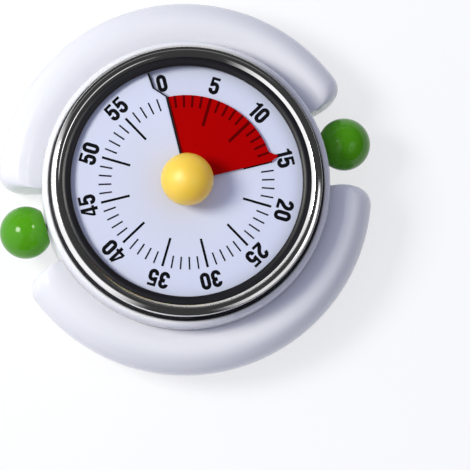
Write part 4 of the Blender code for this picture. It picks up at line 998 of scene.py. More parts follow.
def swept(section, start, turns, rise=0.0):
    """A loop of (radius, height) points swept clockwise about the main axis, with open ends.

    The turns are (angle, steps) pairs, one after the other, from the dial angle start. The
    rise is what the sweep climbs in a full turn. Gives the bmesh and the points of both ends.
    """
    body = bmesh.new()
    loop = [
        body.verts.new((radius * math.sin(start), radius * math.cos(start), height))
        for radius, height in section
    ]
    moving = loop + [body.edges.new(pair) for pair in zip(loop, loop[1:] + loop[:1])]
    for span, steps in turns:
        moving = bmesh.ops.spin(
            body,
            geom=moving,
            cent=(0, 0, 0),
            axis=(0, 0, -1),
            dvec=(0, 0, rise * span / math.tau / steps),
            angle=span,
            steps=steps,
        )["geom_last"]
    return body, loop, [item for item in moving if isinstance(item, bmesh.types.BMVert)]


def climb(section, start, turns, rise):
    """A closed strip that climbs as it goes clockwise, its ends cut across into quads."""
    body, *both = swept(section, start, turns, rise)
    bmesh.ops.holes_fill(body, edges=body.edges, sides=0)
    for ends in both:
        ends = sorted(ends, key=lambda vert: (round(vert.co.xy.length, 6), vert.co.z))
        for pair in zip(ends[2:-2:2], ends[3:-2:2]):
            bmesh.ops.connect_vert_pair(body, verts=pair)
    return body


# Case


def slot_points(direction):
    """The outline of a round-ended sound slot along a radius."""
    turn = Matrix.Rotation(math.radians(direction), 2)
    points = rounded((SLOT_OUTER, 0.0), SLOT_HALF, SLOT_HALF, -90, 90, 8)
    points += rounded((SLOT_INNER, 0.0), SLOT_HALF, SLOT_HALF, 90, 270, 8)
    return [tuple(turn @ Vector(point)) for point in points]


class TIMER_OT_drum(bpy.types.Operator):
    """Make the white drum and its back cover"""

    bl_idname = "timer.drum"
    bl_label = "Drum and back cover"

    def execute(self, context):
        case = context.scene.timer_case
        radius = case.drum_radius
        bore = radius - case.drum_wall
        back = low("drum_housing")
        front = high("drum_housing")
        crest = case.roll_crest
        upright = front - case.roll_fall
        tall = case.roll_height + case.roll_fall
        profile = [(bore, back), (radius, back)]
        profile += rounded((radius - case.roll_outer, upright), case.roll_outer, tall, 0, 90, 16)
        profile += rounded((crest, front), crest - case.roll_inner, case.roll_height, 90, 180, 12)
        profile += [
            (case.drum_opening, front),
            (case.drum_opening, front - case.drum_wall),
            (bore, front - case.drum_wall),
        ]
        drum = lathe(profile, case.facets)
        soften(drum, radius=0.00025, segments=3, least=50.0)
        paint = white_plastic(context)
        finished(drum, "drum_shell", paint, "case", "white_plastic", "drum_housing")

        lip_high = high("back_cover")
        cover = bmesh.new()
        rim = loop_at(cover, ring_of((0.0, 0.0), radius - COVER_EDGE, case.facets), 0.0)
        back_edges = list(rim)
        front_edges = []
        for number_of in (1, 2, 3):
            middle = middle_of(f"cover_screw_{number_of}")
            edges = loop_at(cover, ring_of(middle, SCREW_HEAD + GAP, steps=32), 0.0)
            back_edges += edges
            edges = raised(cover, edges, SCREW_SEAT + GAP)
            edges = raised(cover, edges, 0.0, (SCREW_SHANK + GAP) / (SCREW_HEAD + GAP), middle)
            front_edges += raised(cover, edges, COVER_FACE - SCREW_SEAT - GAP)
        for number_of in (1, 2, 3):
            middle = middle_of(f"back_magnet_{number_of}")
            edges = loop_at(cover, ring_of(middle, MAGNET_RADIUS + GAP, steps=48), 0.0)
            back_edges += edges
            filled(cover, raised(cover, edges, high(f"back_magnet_{number_of}") + GAP))
        for step in range(6):
            edges = loop_at(cover, slot_points(60.0 * step), 0.0)
            back_edges += edges
            front_edges += raised(cover, edges, COVER_FACE)
        filled(cover, back_edges)
        wall = raised(cover, rim, COVER_EDGE, radius / (radius - COVER_EDGE))
        wall = raised(cover, wall, COVER_FACE - COVER_EDGE)
        lip = bore - GAP
        wall = raised(cover, wall, 0.0, lip / radius)
        wall = raised(cover, wall, lip_high - COVER_FACE)
        wall = raised(cover, wall, 0.0, (lip - COVER_LIP) / lip)
        wall = raised(cover, wall, COVER_FACE - lip_high)
        filled(cover, front_edges + wall)
        bmesh.ops.remove_doubles(cover, verts=cover.verts, dist=MERGE)
        soften(cover, radius=0.00015, segments=2)
        finished(cover, "back_plate", paint, "case", "white_plastic", "back_cover")
        return {"FINISHED"}


class TIMER_OT_grips(bpy.types.Operator):
    """Make the two curved grips with rounded ends"""

    bl_idname = "timer.grips"
    bl_label = "Grips"

    def execute(self, context):
        case = context.scene.timer_case
        inner = case.drum_radius + case.grip_seam
        outer = case.grip_radius
        crest = outer - case.grip_crest_inset
        widest = case.grip_widest
        top = high("upper_grip_arc")
        back = low("upper_grip_arc")
        valley = top - case.grip_valley
        section = [(inner, back), (inner, valley)]
        for step in range(1, 8):
            share = step / 8
            rise = math.sin(share * math.pi / 2)
            section.append((inner + (crest - inner) * share, valley + (top - valley) * rise))
        section += rounded((crest, widest), outer - crest, top - widest, 90, 0, 16)
        under = (outer - crest) / 2
        section += rounded((outer - under, widest), under, widest - back, 0, -90, 8)[1:]
        plain = case.grip_half_angle - case.grip_end_angle
        spans = (case.grip_end_angle, 2 * plain, case.grip_end_angle)
        turns = list(zip(spans, GRIP_STEPS))
        for name, middle in (
            ("upper_grip", -case.ball_direction),
            ("lower_grip", math.pi - case.ball_direction),
        ):
            body = swept(section, middle - case.grip_half_angle, turns)[0]
            for vert in body.verts:
                aside = math.atan2(vert.co.x, vert.co.y) - middle
                aside = (aside + math.pi) % math.tau - math.pi
                beyond = abs(aside) - plain
                if beyond < 1e-6:
                    continue
                lean = math.pi / 2 * min(1.0, beyond / case.grip_end_angle)
                share = GRIP_END_WIDTH + (1 - GRIP_END_WIDTH) * math.cos(lean)
                radius = inner + (vert.co.xy.length - inner) * share
                lower = GRIP_END_HEIGHT + (1 - GRIP_END_HEIGHT) * share
                height = widest + (vert.co.z - widest) * lower
                place = middle + math.copysign(plain + case.grip_end_angle * math.sin(lean), aside)
                vert.co = (radius * math.sin(place), radius * math.cos(place), max(height, back))
            bmesh.ops.holes_fill(body, edges=body.edges, sides=0)
            soften(body, radius=0.0009, segments=5, least=40.0)
            finished(body, name, white_plastic(context), "case", "white_plastic", f"{name}_arc")
        return {"FINISHED"}


class TIMER_OT_balls(bpy.types.Operator):
    """Make the two green balls that stand out of the drum"""

    bl_idname = "timer.balls"
    bl_label = "Balls"

    def execute(self, context):
        case = context.scene.timer_case
        paint = green_plastic(context)
        for name, turn in (("right_ball", 0.0), ("left_ball", math.pi)):
            body = bmesh.new()
            bmesh.ops.create_uvsphere(body, u_segments=72, v_segments=48, radius=case.ball_radius)
            turned(body, body.verts, math.pi / 2, "Y")
            place = (case.ball_centre, 0.0, case.ball_height)
            bmesh.ops.translate(body, verts=body.verts, vec=place)
            bmesh.ops.bisect_plane(
                body,
                geom=body.verts[:] + body.edges[:] + body.faces[:],
                dist=1e-6,
                plane_co=(case.drum_radius + GAP, 0, 0),
                plane_no=(-1, 0, 0),
                clear_outer=True,
            )
            bmesh.ops.holes_fill(body, edges=body.edges, sides=0)
            soften(body, radius=0.0003, segments=3, least=20.0)
            turned(body, body.verts, case.ball_direction + turn)
            finished(body, f"{name}_knob", paint, "case", "ball_green", name)
        return {"FINISHED"}


# Front


class TIMER_OT_bezel(bpy.types.Operator):
    """Make the chromed bezel and the black surround inside it"""

    bl_idname = "timer.bezel"
    bl_label = "Bezel and surround"

    def execute(self, context):
        case = context.scene.timer_case
        front = context.scene.timer_front
        back = low("chrome_bezel")
        crest = high("chrome_bezel")
        floor = low("dial_surround")
        top = high("dial_surround")
        inner = front.surround_radius + front.bezel_seam
        crest_inner = inner + front.bezel_chamfer + front.bezel_flank
        crest_outer = crest_inner + front.bezel_crest
        arc = front.bezel_flank / math.sin(front.bezel_flank_lean)
        edge = crest - arc * (1 - math.cos(front.bezel_flank_lean))
        edge -= front.bezel_chamfer * math.tan(front.bezel_flank_lean)
        profile = [(inner, floor), (inner, edge)]
        profile += crowned((crest_inner, crest), arc, -front.bezel_flank_lean, 0.0, 8)
        steep = front.bezel_corner_lean
        arc = (front.bezel_corner - crest_outer) / math.sin(steep)
        profile += crowned((crest_outer, crest), arc, 0.0, steep, 16)
        radius, height = profile[-1]
        tight = front.bezel_corner_round
        corner = (radius - tight * math.sin(steep), height + tight * (1 - math.cos(steep)))
        profile += crowned(corner, tight, steep, front.bezel_wall_lean, 6)[1:]
        foot = front.bezel_foot
        profile += [(foot, back + front.gasket_height), (foot, back)]
        profile += [(foot - BEZEL_WALL, back), (foot - BEZEL_WALL, floor)]
        ring = lathe(profile, case.facets)
        finished(ring, "bezel_ring", chrome(context), "case", "chrome", "chrome_bezel")
        # Painted shade: a black ring round the bezel's foot stands for the dark, shaded groove
        # between the bezel and the drum
        foot += front.bezel_seam
        profile = sleeve(foot, foot + front.gasket_width, back, back + front.gasket_height)
        shade_ring = lathe(profile, case.facets)
        soften(shade_ring, radius=0.00010, segments=3)
        black = black_plastic(context)
        finished(shade_ring, "bezel_shade_ring", black, "case", "black_plastic")

        lip_back = high("dial_plate") + LIP_CLEAR
        wall = front.surround_radius - front.surround_wall
        crest = front.surround_crest
        profile = [(wall, floor), (front.surround_radius, floor)]
        for step in range(7):
            share = 1 - step / 6
            radius = crest + (front.surround_radius - crest) * share
            profile.append((radius, top - front.surround_fall * share**2))
        arc = (crest - front.lip_radius) / math.sin(front.lip_lean)
        profile += crowned((crest, top), arc, 0.0, -front.lip_lean, 12)[1:]
        profile += [(front.lip_radius, lip_back), (wall, lip_back)]
        ring = lathe(profile, case.facets)
        soften(ring, radius=0.00010, segments=3, least=40.0)
        finished(ring, "surround_ring", black, "case", "black_plastic", "dial_surround")
        return {"FINISHED"}


def stroke(path, width, closed=False):
    """The outlines on both sides of a path: one loop, or two for a closed path."""
    places = [Vector(point) for point in path]
    sides = ([], [])
    last = len(places) - 1
    for index, place in enumerate(places):
        before = places[index - 1] if index or closed else place
        after = places[(index + 1) % len(places)] if index < last or closed else place
        into = (place - before).normalized() if place != before else (after - place).normalized()
        out = (after - place).normalized() if after != place else into
        across = Vector((-into.y, into.x)) + Vector((-out.y, out.x))
        across = across / max(across.dot(Vector((-into.y, into.x))), SHARPEST)
        sides[0].append(tuple(place + across * width / 2))
        sides[1].append(tuple(place - across * width / 2))
    if closed:
        return sides[0], [sides[1]]
    return sides[0] + sides[1][::-1], []


def digit(figure):
    """The outlines of a dial figure one unit high, as (outline, holes) pairs."""
    half = STROKE / 2
    right = FIGURE_WIDTH[figure] - half
    middle = (half + right) / 2
    bow = (right - half) / 2
    if figure == "0":
        path = rounded((middle, 1 - half - bow), bow, bow, 0, 180)
        path += rounded((middle, half + bow), bow, bow, 180, 360)
        return [stroke(path, STROKE, closed=True)]
    if figure == "1":
        outline = [(0.17, 0.0), (0.37, 0.0), (0.37, 1.0), (0.22, 1.0), (0.17, 0.92)]
        outline += [(0.10, 0.87), (0.0, 0.85), (0.0, 0.72), (0.17, 0.74)]
        return [(outline, [])]
    if figure == "2":
        path = [(half, 0.66)] + rounded((middle, 1 - half - bow), bow, bow, 180, 0)
        path += [(right, 0.62), (right - 0.03, 0.53), (right - 0.10, 0.43), (half + 0.08, 0.26)]
        path += [(half + 0.03, 0.16), (half + 0.02, 0.05)]
        base = [(0.02, 0.0), (right + half, 0.0), (right + half, 0.165), (0.02, 0.165)]
        return [stroke(path, STROKE), (base, [])]
    if figure == "3":
        upper = [(half, 0.70)] + rounded((middle, 1 - half - bow), bow, bow, 180, 0)
        upper += rounded((middle, 0.655), bow, 0.13, 0, -90, 6) + [(middle - 0.06, 0.525)]
        lower = [(middle - 0.06, 0.525)] + rounded((middle, 0.395), bow, 0.13, 90, 0, 6)
        lower += rounded((middle, half + bow), bow, bow, 0, -180) + [(half, 0.32)]
        return [stroke(upper, STROKE), stroke(lower, STROKE)]
    if figure == "4":
        outline = [(0.31, 0.0), (0.50, 0.0), (0.50, 0.19), (0.60, 0.19), (0.60, 0.345)]
        outline += [(0.50, 0.345), (0.50, 1.0), (0.27, 1.0), (0.0, 0.36), (0.0, 0.19), (0.31, 0.19)]
        return [(outline, [[(0.31, 0.345), (0.31, 0.76), (0.145, 0.345)]])]
    if figure == "5":
        stem = [(0.03, 0.44), (0.19, 0.46), (0.20, 0.845), (0.54, 0.845), (0.54, 1.0), (0.05, 1.0)]
        bowl = [(half + 0.02, 0.49)] + rounded((middle, 0.62 - bow), bow, bow, 140, 0)
        bowl += rounded((middle, half + bow), bow, bow, 0, -180) + [(half, 0.34)]
        return [(stem, []), stroke(bowl, STROKE)]
    raise RuntimeError(f"no outline for the figure {figure}")


def minute_mark(front, minute, outer, turn, spread=0.0):
    """The flat mark of a minute out to a radius, spread to each side, turned to its place."""
    inner = front.minor_inner if minute % 5 else front.major_inner
    half = (front.minor_width if minute % 5 else front.major_width) / 2 + spread
    outline = [(-half, inner), (half, inner), (half, outer), (-half, outer)]
    mark = flat_piece(outline, [], -INK, INK)
    turned(mark, mark.verts, turn)
    return mark


class TIMER_OT_dial(bpy.types.Operator):
    """Make the climbing dial with its slit, its marks and its numbers"""

    bl_idname = "timer.dial"
    bl_label = "Dial, marks and numbers"

    def execute(self, context):
        front = context.scene.timer_front
        rise = front.dial_rise
        back = high("dial_plate") - rise - front.dial_thickness
        face = back + front.dial_thickness
        radii = [front.dial_hole, front.slit_straight, front.slit_jog_end, front.dial_radius]
        section = [(radius, back) for radius in radii]
        section += [(radius, face) for radius in reversed(radii)]
        body = climb(section, 0.0, [(math.tau, DIAL_STEPS)], rise)
        for vert in body.verts:
            past = dial_angle(vert.co)
            if min(past, 360.0 - past) < ALIGNED:
                past = 360.0 if vert.co.z > face + rise / 2 else 0.0
            vert.co.z += bend(front, vert.co.xy.length, past)
        beyond = (front.slit_straight + front.slit_jog_end) / 2
        outer = [vert for vert in body.verts if vert.co.xy.length > beyond]
        turned(body, outer, front.slit_jog_angle)
        lowered = (0, 0, -rise * front.slit_jog_angle / math.tau)
        bmesh.ops.translate(body, verts=outer, vec=lowered)
        soften(body, radius=0.00008, segments=2, least=60.0)
        finished(body, "dial_sheet", dial_sheet(context), "case", "dial_white", "dial_plate")

        # Painted shadow: a thin black strip under the slit's high edge, standing out beside it
        # where the edge's shadow falls on the red disc and the low side of the dial
        sides = []
        radii = [front.dial_hole + GAP, front.slit_straight, front.slit_jog_end, front.lip_radius]
        for aside in (front.edging_reach, -front.edging_depth):
            side = []
            for radius in radii:
                turn = math.radians(slit_angle(front, radius))
                along = Vector((math.sin(turn), math.cos(turn))) * radius
                side.append(tuple(along + Vector((math.cos(turn), -math.sin(turn))) * aside))
            sides.append(side)
        shadow_strip = flat_piece(sides[0] + sides[1][::-1], [], -front.edging_thickness, 0.0)
        for vert in shadow_strip.verts:
            radius = vert.co.xy.length
            vert.co.z += back + rise * (1 + slit_angle(front, radius) / 360.0)
            vert.co.z += bend(front, radius, 360.0 - ALIGNED) - HAIR
        finished(shadow_strip, "slit_shadow_strip", black_plastic(context), "case", "black_plastic")

        def lay(print_body):
            """Lift a flat print onto the climbing face of the dial."""
            for vert in print_body.verts:
                vert.co.z += face + dial_height(front, vert.co)
            return print_body

        long_marks = []
        short_marks = []
        for minute in range(1, 60):
            mark = minute_mark(front, minute, front.marks_outer, -math.tau * minute / 60)
            (short_marks if minute % 5 else long_marks).append(lay(mark))
        black = dial_ink("black dial ink", front.ink)
        pale = dial_ink("thin dial ink", front.pale_ink)
        finished(gather(long_marks), "long_marks", black, "case", "dial_white")
        finished(gather(short_marks), "short_marks", pale, "case", "dial_white")

        figures = []
        for minute in range(0, 60, 5):
            text = str(minute)
            width = sum(FIGURE_WIDTH[figure] for figure in text) + FIGURE_GAP * (len(text) - 1)
            start = -width / 2
            middle = front.number_circle + (0.0 if minute else front.zero_out)
            for figure in text:
                for outline, holes in digit(figure):
                    body = flat_piece(outline, holes, -INK, INK)
                    bmesh.ops.translate(body, verts=body.verts, vec=(start, -0.5, 0))
                    tall = front.number_height
                    bmesh.ops.scale(body, verts=body.verts, vec=(tall, tall, 1))
                    bmesh.ops.translate(body, verts=body.verts, vec=(0, middle, 0))
                    bmesh.ops.bisect_plane(
                        body,
                        geom=body.verts[:] + body.edges[:] + body.faces[:],
                        dist=MERGE,
                        plane_co=(0, front.slit_jog_end, 0),
                        plane_no=(0, 1, 0),
                    )
                    turned(body, body.verts, -math.tau * minute / 60)
                    figures.append(lay(body))
                start += FIGURE_WIDTH[figure] + FIGURE_GAP
        finished(gather(figures), "dial_numbers", black, "case", "dial_white")
        return {"FINISHED"}


class TIMER_OT_time_disc(bpy.types.Operator):
    """Make the red disc with its pointed tab"""

    bl_idname = "timer.time_disc"
    bl_label = "Time disc"

    def execute(self, context):
        front = context.scene.timer_front
        rise = front.dial_rise
        set_at = math.degrees(front.disc_set)
        back = high("dial_plate") - rise - front.dial_thickness
        above = (rise + front.dial_thickness - front.disc_thickness) / 2
        lowest = back + above + rise * (set_at - 360.0) / 360.0
        inner = front.hub_radius + GAP
        middle = (inner + front.disc_radius) / 2
        section = [(inner, lowest), (middle, lowest), (front.disc_radius, lowest)]
        section += [(radius, height + front.disc_thickness) for radius, height in section[::-1]]
        turns = zip((math.tau - front.tab_foot, front.tab_foot), DISC_STEPS)
        body = climb(section, front.disc_set, turns, rise)
        foot = math.degrees(front.tab_foot)
        tip = math.degrees(front.tab_tip)
        for vert in body.verts:
            behind = set_at - dial_angle(vert.co)
            on_rim = vert.co.xy.length > front.disc_radius - ON_EDGE
            if not on_rim or not -ALIGNED <= behind < foot:
                continue
            if vert.co.z < back + above:
                continue
            share = ((foot - behind) / (foot - tip)) ** TAB_CURVE
            if behind < tip:
                share = behind / tip
            vert.co.xy *= 1 + front.tab_reach * max(share, 0.0) / front.disc_radius
        paint = red_plastic("satin red plastic", front.red, shade=0.03)
        finished(body, "red_disc", paint, "disc", "time_red", "time_disc")

        marks = []
        outer = front.disc_radius - MARK_INSET
        top = lowest + front.disc_thickness + rise
        for minute in range(1, 60):
            turn = math.tau * minute / 60 - front.disc_set
            mark = minute_mark(front, minute, outer, turn, front.dim_spread)
            for vert in mark.verts:
                behind = (set_at - dial_angle(vert.co)) % 360.0
                vert.co.z += top - rise * behind / 360.0
            marks.append(mark)
        dim = red_plastic("dim dial marks", front.dim_red)
        finished(gather(marks), "disc_marks", dim, "disc", "time_red")
        return {"FINISHED"}


class TIMER_OT_knob(bpy.types.Operator):
    """Make the yellow ball knob and the hub below it"""

    bl_idname = "timer.knob"
    bl_label = "Knob"

    def execute(self, context):
        front = context.scene.timer_front
        back = low("knob")
        radius = front.knob_radius
        centre = high("knob") - HAIR - radius
        bore_end = high("knob_insert") + GAP
        profile = [(0.0, bore_end), (front.knob_bore, bore_end), (front.knob_bore, back)]
        foot = math.acos(min(1.0, (centre - back) / radius))
        rings = 40
        for ring in range(rings):
            turn = foot + (math.pi - foot) * ring / rings
            profile.append((radius * math.sin(turn), centre - radius * math.cos(turn)))
        profile.append((0.0, centre + radius))
        body = lathe(profile, steps=96)
        soften(body, radius=0.0003, segments=3, least=30.0)
        finished(body, "ball_knob", yellow_plastic(context), "winding", "knob_yellow", "knob")
        profile = sleeve(front.hub_bore, front.hub_radius, low("disc_hub"), high("disc_hub"))
        hub = lathe(profile, steps=64)
        soften(hub, radius=0.0002, segments=2)
        finished(hub, "hub_sleeve", inner_plastic(), "winding", "inner_plastic", "disc_hub")
        return {"FINISHED"}


# Back and movement


class TIMER_OT_back_details(bpy.types.Operator):
    """Make the cross-headed screws and the magnets in the back cover"""

    bl_idname = "timer.back_details"
    bl_label = "Back screws and magnets"

    def execute(self, context):
        arm, half = CROSS_ARM, CROSS_HALF
        cross = [(half, half), (half, arm), (-half, arm), (-half, half)]
        cross += [(-arm, half), (-arm, -half), (-half, -half), (-half, -arm)]
        cross += [(half, -arm), (half, -half), (arm, -half), (arm, half)]
        for number_of, turn in enumerate(SCREW_TURNS, 1):
            name = f"cover_screw_{number_of}"
            middle = middle_of(name)
            face = low(name)
            end = high(name)
            body = bmesh.new()
            rim = loop_at(body, ring_of((0.0, 0.0), SCREW_HEAD - SCREW_EDGE, steps=40), face)
            recess = loop_at(body, cross, face)
            filled(body, rim + recess)
            filled(body, raised(body, recess, CROSS_DEPTH, CROSS_TAPER))
            wall = raised(body, rim, SCREW_EDGE, SCREW_HEAD / (SCREW_HEAD - SCREW_EDGE))
            wall = raised(body, wall, SCREW_SEAT - face - SCREW_EDGE)
            wall = raised(body, wall, 0.0, SCREW_SHANK / SCREW_HEAD)
            filled(body, raised(body, wall, end - SCREW_SEAT))
            turned(body, body.verts, turn)
            bmesh.ops.translate(body, verts=body.verts, vec=(*middle, 0.0))
            soften(body, radius=0.00006, segments=2, least=40.0)
            finished(body, f"cross_screw_{number_of}", steel(), "case", "steel", name)
            name = f"back_magnet_{number_of}"
            profile = sleeve(0.0, MAGNET_RADIUS, low(name), high(name))
            body = lathe(profile, steps=72, centre=middle_of(name))
            soften(body, radius=0.0002, segments=3)
            finished(body, f"magnet_disc_{number_of}", nickel(), "case", "nickel", name)
        return {"FINISHED"}


class TIMER_OT_movement(bpy.types.Operator):
    """Give the pieces of the movement their finishes"""

    bl_idname = "timer.movement"
    bl_label = "Movement finishes"

    def execute(self, context):
        finishes = {
            "steel": steel(),
            "brass": brass(),
            "nickel": nickel(),
            "inner_plastic": inner_plastic(),
        }
        for entry in frame["record"]["subparts"]:
            piece = frame["nodes"][entry["node"]]
            if piece.hide_render:
                continue
            paint = finishes.get(entry["material_slot"])
            if paint is None:
                raise RuntimeError(f"no finish for {entry['node']}")
            piece.data.materials.clear()
            piece.data.materials.append(paint)
        return {"FINISHED"}


# Stage


def eased(tree, value, start, end):
    """A smooth step of a socket, from 0 at start to 1 at end."""
    made = node(
        tree,
        "ShaderNodeMapRange",
        interpolation_type="SMOOTHSTEP",
        From_Min=start,
        From_Max=end,
    )
    tree.links.new(value, made.inputs["Value"])
    return made.outputs["Result"]


def facing(tree, direction, azimuth, elevation=0.0):
    """How far a direction points to a place in the room, from -1 to 1."""
    made = node(tree, "ShaderNodeVectorMath", operation="DOT_PRODUCT")
    made.inputs[1].default_value = towards(azimuth, elevation, 1.0)
    tree.links.new(direction, made.inputs[0])
    return made.outputs["Value"]


def bright_part(tree, around, height, azimuth, begins, full, lower, upper, soft, level):
    """A bright part of the room between two heights, about an azimuth."""
    part = eased(tree, facing(tree, around, azimuth), begins, full)
    part = sums(tree, "MULTIPLY", part, eased(tree, height, lower, lower + soft))
    part = sums(tree, "MULTIPLY", part, eased(tree, height, upper, upper - soft))
    return sums(tree, "MULTIPLY", part, level)


def room_light(stage):
    """The world: soft light, white for the camera, and the room that metal and gloss show."""
    world = bpy.data.worlds.new("studio room")
    world.use_nodes = True
    tree = world.node_tree
    tree.nodes.clear()
    out = node(tree, "ShaderNodeOutputWorld")
    rays = node(tree, "ShaderNodeLightPath")
    place = node(tree, "ShaderNodeTexCoord")
    axes = node(tree, "ShaderNodeSeparateXYZ")
    level = node(tree, "ShaderNodeVectorMath", operation="MULTIPLY")
    level.inputs[1].default_value = (1.0, 1.0, 0.0)
    compass = node(tree, "ShaderNodeVectorMath", operation="NORMALIZE")
    join(
        tree,
        (place.outputs["Generated"], axes.inputs["Vector"]),
        (place.outputs["Generated"], level.inputs[0]),
        (level.outputs["Vector"], compass.inputs[0]),
    )
    up = axes.outputs["Z"]
    around = compass.outputs["Vector"]

    soft = node(tree, "ShaderNodeBackground", Color=(*stage.room, 1.0))
    white = node(tree, "ShaderNodeBackground", Color=WHITE, Strength=1.0)
    shown = node(tree, "ShaderNodeBackground", Color=WHITE)
    lean = facing(tree, place.outputs["Generated"], stage.room_azimuth, stage.room_elevation)
    lobe = eased(tree, lean, LOBE_BEGINS, LOBE_FULL)
    lobe = sums(tree, "MULTIPLY", lobe, ROOM_LOBE * stage.room_strength)

    climbing = sums(tree, "MULTIPLY", facing(tree, around, stage.window_climb), WINDOW_RISE)
    climbing = sums(tree, "SUBTRACT", up, climbing)
    bright = stage.dim_room
    for name, *shape in ROOM_PARTS:
        height = climbing if name == "window_azimuth" else up
        part = bright_part(tree, around, height, getattr(stage, name), *shape)
        bright = sums(tree, "MAXIMUM", part, bright)
    glossy = rays.outputs["Is Glossy Ray"]
    mirror = sums(tree, "MAXIMUM", glossy, rays.outputs["Is Transmission Ray"])
    first = node(tree, "ShaderNodeMixShader")
    second = node(tree, "ShaderNodeMixShader")
    join(
        tree,
        (sums(tree, "ADD", lobe, ROOM_BASE * stage.room_strength), soft.inputs["Strength"]),
        (bright, shown.inputs["Strength"]),
        (mirror, first.inputs["Fac"]),
        (soft.outputs[0], first.inputs[1]),
        (shown.outputs[0], first.inputs[2]),
        (rays.outputs["Is Camera Ray"], second.inputs["Fac"]),
        (first.outputs[0], second.inputs[1]),
        (white.outputs[0], second.inputs[2]),
        (second.outputs[0], out.inputs["Surface"]),
    )
    return world


def floor_paint(stage):
    """Pale floor: white for the camera outside the shadow, clear from below."""
    made, tree, shader = opened("pale floor")
    surface = effect(
        tree,
        "moulded surface",
        Color=(*stage.floor, 1.0),
        Shade=0.01,
        Roughness=0.6,
        Handling=0.05,
        Peel_Size=300.0,
        Peel_Depth=0.00001,
    )
    rays = node(tree, "ShaderNodeLightPath")
    shape = node(tree, "ShaderNodeNewGeometry")
    seen = sums(tree, "MAXIMUM", rays.outputs["Is Camera Ray"], rays.outputs["Is Glossy Ray"])
    seen = sums(tree, "MAXIMUM", seen, rays.outputs["Is Transmission Ray"])
    shown = mixed(tree, seen, surface.outputs["Color"], (*stage.floor_seen, 1.0))
    glow = node(tree, "ShaderNodeEmission")
    total = node(tree, "ShaderNodeAddShader")
    clear = node(tree, "ShaderNodeBsdfTransparent")
    choice = node(tree, "ShaderNodeMixShader")
    shader.inputs["Specular IOR Level"].default_value = 0.0
    join(
        tree,
        (shown, shader.inputs["Base Color"]),
        (sums(tree, "MULTIPLY", seen, stage.floor_lift), glow.inputs["Strength"]),
        (shader.outputs[0], total.inputs[0]),
        (glow.outputs[0], total.inputs[1]),
        (shape.outputs["Backfacing"], choice.inputs["Fac"]),
        (total.outputs[0], choice.inputs[1]),
        (clear.outputs[0], choice.inputs[2]),
        (choice.outputs[0], tree.nodes["Material Output"].inputs["Surface"]),
    )
    return made


def soft_lamp(name, power, size, place, aim, tint):
    """A square soft lamp that points at a place."""
    data = bpy.data.lights.new(name, "AREA")
    data.shape = "SQUARE"
    data.size = size
    data.energy = power
    data.color = tint
    lamp = bpy.data.objects.new(name, data)
    lamp.location = place
    lamp.rotation_euler = (Vector(place) - Vector(aim)).to_track_quat("Z", "Y").to_euler()
    bpy.context.scene.collection.objects.link(lamp)


def towards(azimuth, elevation, distance):
    """The place at a distance in a direction from the timer."""
    return Vector(
        (
            distance * math.cos(elevation) * math.cos(azimuth),
            distance * math.cos(elevation) * math.sin(azimuth),
            distance * math.sin(elevation),
        )
    )


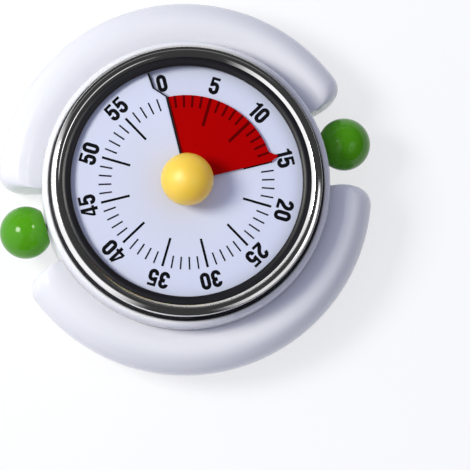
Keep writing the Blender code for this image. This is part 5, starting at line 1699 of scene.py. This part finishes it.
class TIMER_OT_stage(bpy.types.Operator):
    """Make the floor, the lamps, the room light and the camera"""

    bl_idname = "timer.stage"
    bl_label = "Stage"

    def execute(self, context):
        scene = context.scene
        stage = scene.timer_stage
        body = bmesh.new()
        bmesh.ops.create_grid(body, x_segments=8, y_segments=8, size=FLOOR_HALF)
        bmesh.ops.translate(body, verts=body.verts, vec=(0, 0, -CLEAR_OF_FLOOR))
        mesh = bpy.data.meshes.new("studio_floor")
        body.to_mesh(mesh)
        body.free()
        mesh.materials.append(floor_paint(stage))
        floor = bpy.data.objects.new("studio_floor", mesh)
        scene.collection.objects.link(floor)

        middle = Vector((0.0, 0.0, high("dial_plate")))
        key = towards(stage.key_azimuth, stage.key_elevation, stage.key_distance)
        soft_lamp("key_lamp", stage.key_power, stage.key_size, key, middle, KEY_TINT)
        side = towards(stage.side_azimuth, stage.side_elevation, stage.side_distance)
        soft_lamp("side_lamp", stage.side_power, stage.side_size, side, middle, SIDE_TINT)

        scene.world = room_light(stage)
        scene.view_settings.view_transform = "Standard"

        data = bpy.data.cameras.new("camera")
        data.sensor_width = 36.0
        data.lens = data.sensor_width * stage.distance / stage.frame_width
        data.clip_end = 20.0
        camera = bpy.data.objects.new("camera", data)
        up = Vector((math.sin(stage.roll), math.cos(stage.roll), 0.0))
        right = Vector((up.y, -up.x, 0.0))
        leaning = up * math.cos(stage.lean_side) + right * math.sin(stage.lean_side)
        back = math.cos(stage.tilt) * Vector((0, 0, 1)) - math.sin(stage.tilt) * leaning
        back = back.normalized()
        right = up.cross(back).normalized()
        upward = back.cross(right).normalized()
        centre = middle + right * stage.aim_right - upward * stage.aim_down
        turn = Matrix((right, upward, back)).transposed()
        camera.matrix_world = Matrix.Translation(centre + back * stage.distance) @ turn.to_4x4()
        scene.collection.objects.link(camera)
        scene.camera = camera
        return {"FINISHED"}


# Sidebar


class TIMER_PT_panel(bpy.types.Panel):
    """Sizes and pieces of the kitchen timer"""

    bl_idname = "TIMER_PT_panel"
    bl_label = "Kitchen timer"
    bl_space_type = "VIEW_3D"
    bl_region_type = "UI"
    bl_category = "Timer"

    def draw(self, context):
        column = self.layout.column()
        for group in ("timer_case", "timer_front", "timer_stage"):
            settings = getattr(context.scene, group)
            box = column.box()
            for name in settings.__annotations__:
                box.prop(settings, name)
        for operator in OPERATORS:
            column.operator(operator.bl_idname)


OPERATORS = (
    TIMER_OT_drum,
    TIMER_OT_grips,
    TIMER_OT_balls,
    TIMER_OT_bezel,
    TIMER_OT_dial,
    TIMER_OT_time_disc,
    TIMER_OT_knob,
    TIMER_OT_back_details,
    TIMER_OT_movement,
    TIMER_OT_stage,
)
CLASSES = (TimerCase, TimerFront, TimerStage, *OPERATORS, TIMER_PT_panel)


def register():
    for made in CLASSES:
        bpy.utils.register_class(made)
    bpy.types.Scene.timer_case = bpy.props.PointerProperty(type=TimerCase)
    bpy.types.Scene.timer_front = bpy.props.PointerProperty(type=TimerFront)
    bpy.types.Scene.timer_stage = bpy.props.PointerProperty(type=TimerStage)


def unregister():
    del bpy.types.Scene.timer_stage
    del bpy.types.Scene.timer_front
    del bpy.types.Scene.timer_case
    for made in reversed(CLASSES):
        bpy.utils.unregister_class(made)


def main():
    """Build every piece."""
    register()
    bpy.ops.timer.drum()
    bpy.ops.timer.grips()
    bpy.ops.timer.balls()
    bpy.ops.timer.bezel()
    bpy.ops.timer.dial()
    bpy.ops.timer.time_disc()
    bpy.ops.timer.knob()
    bpy.ops.timer.back_details()
    bpy.ops.timer.movement()
    bpy.ops.timer.stage()


if __name__ == "__main__":
    main()
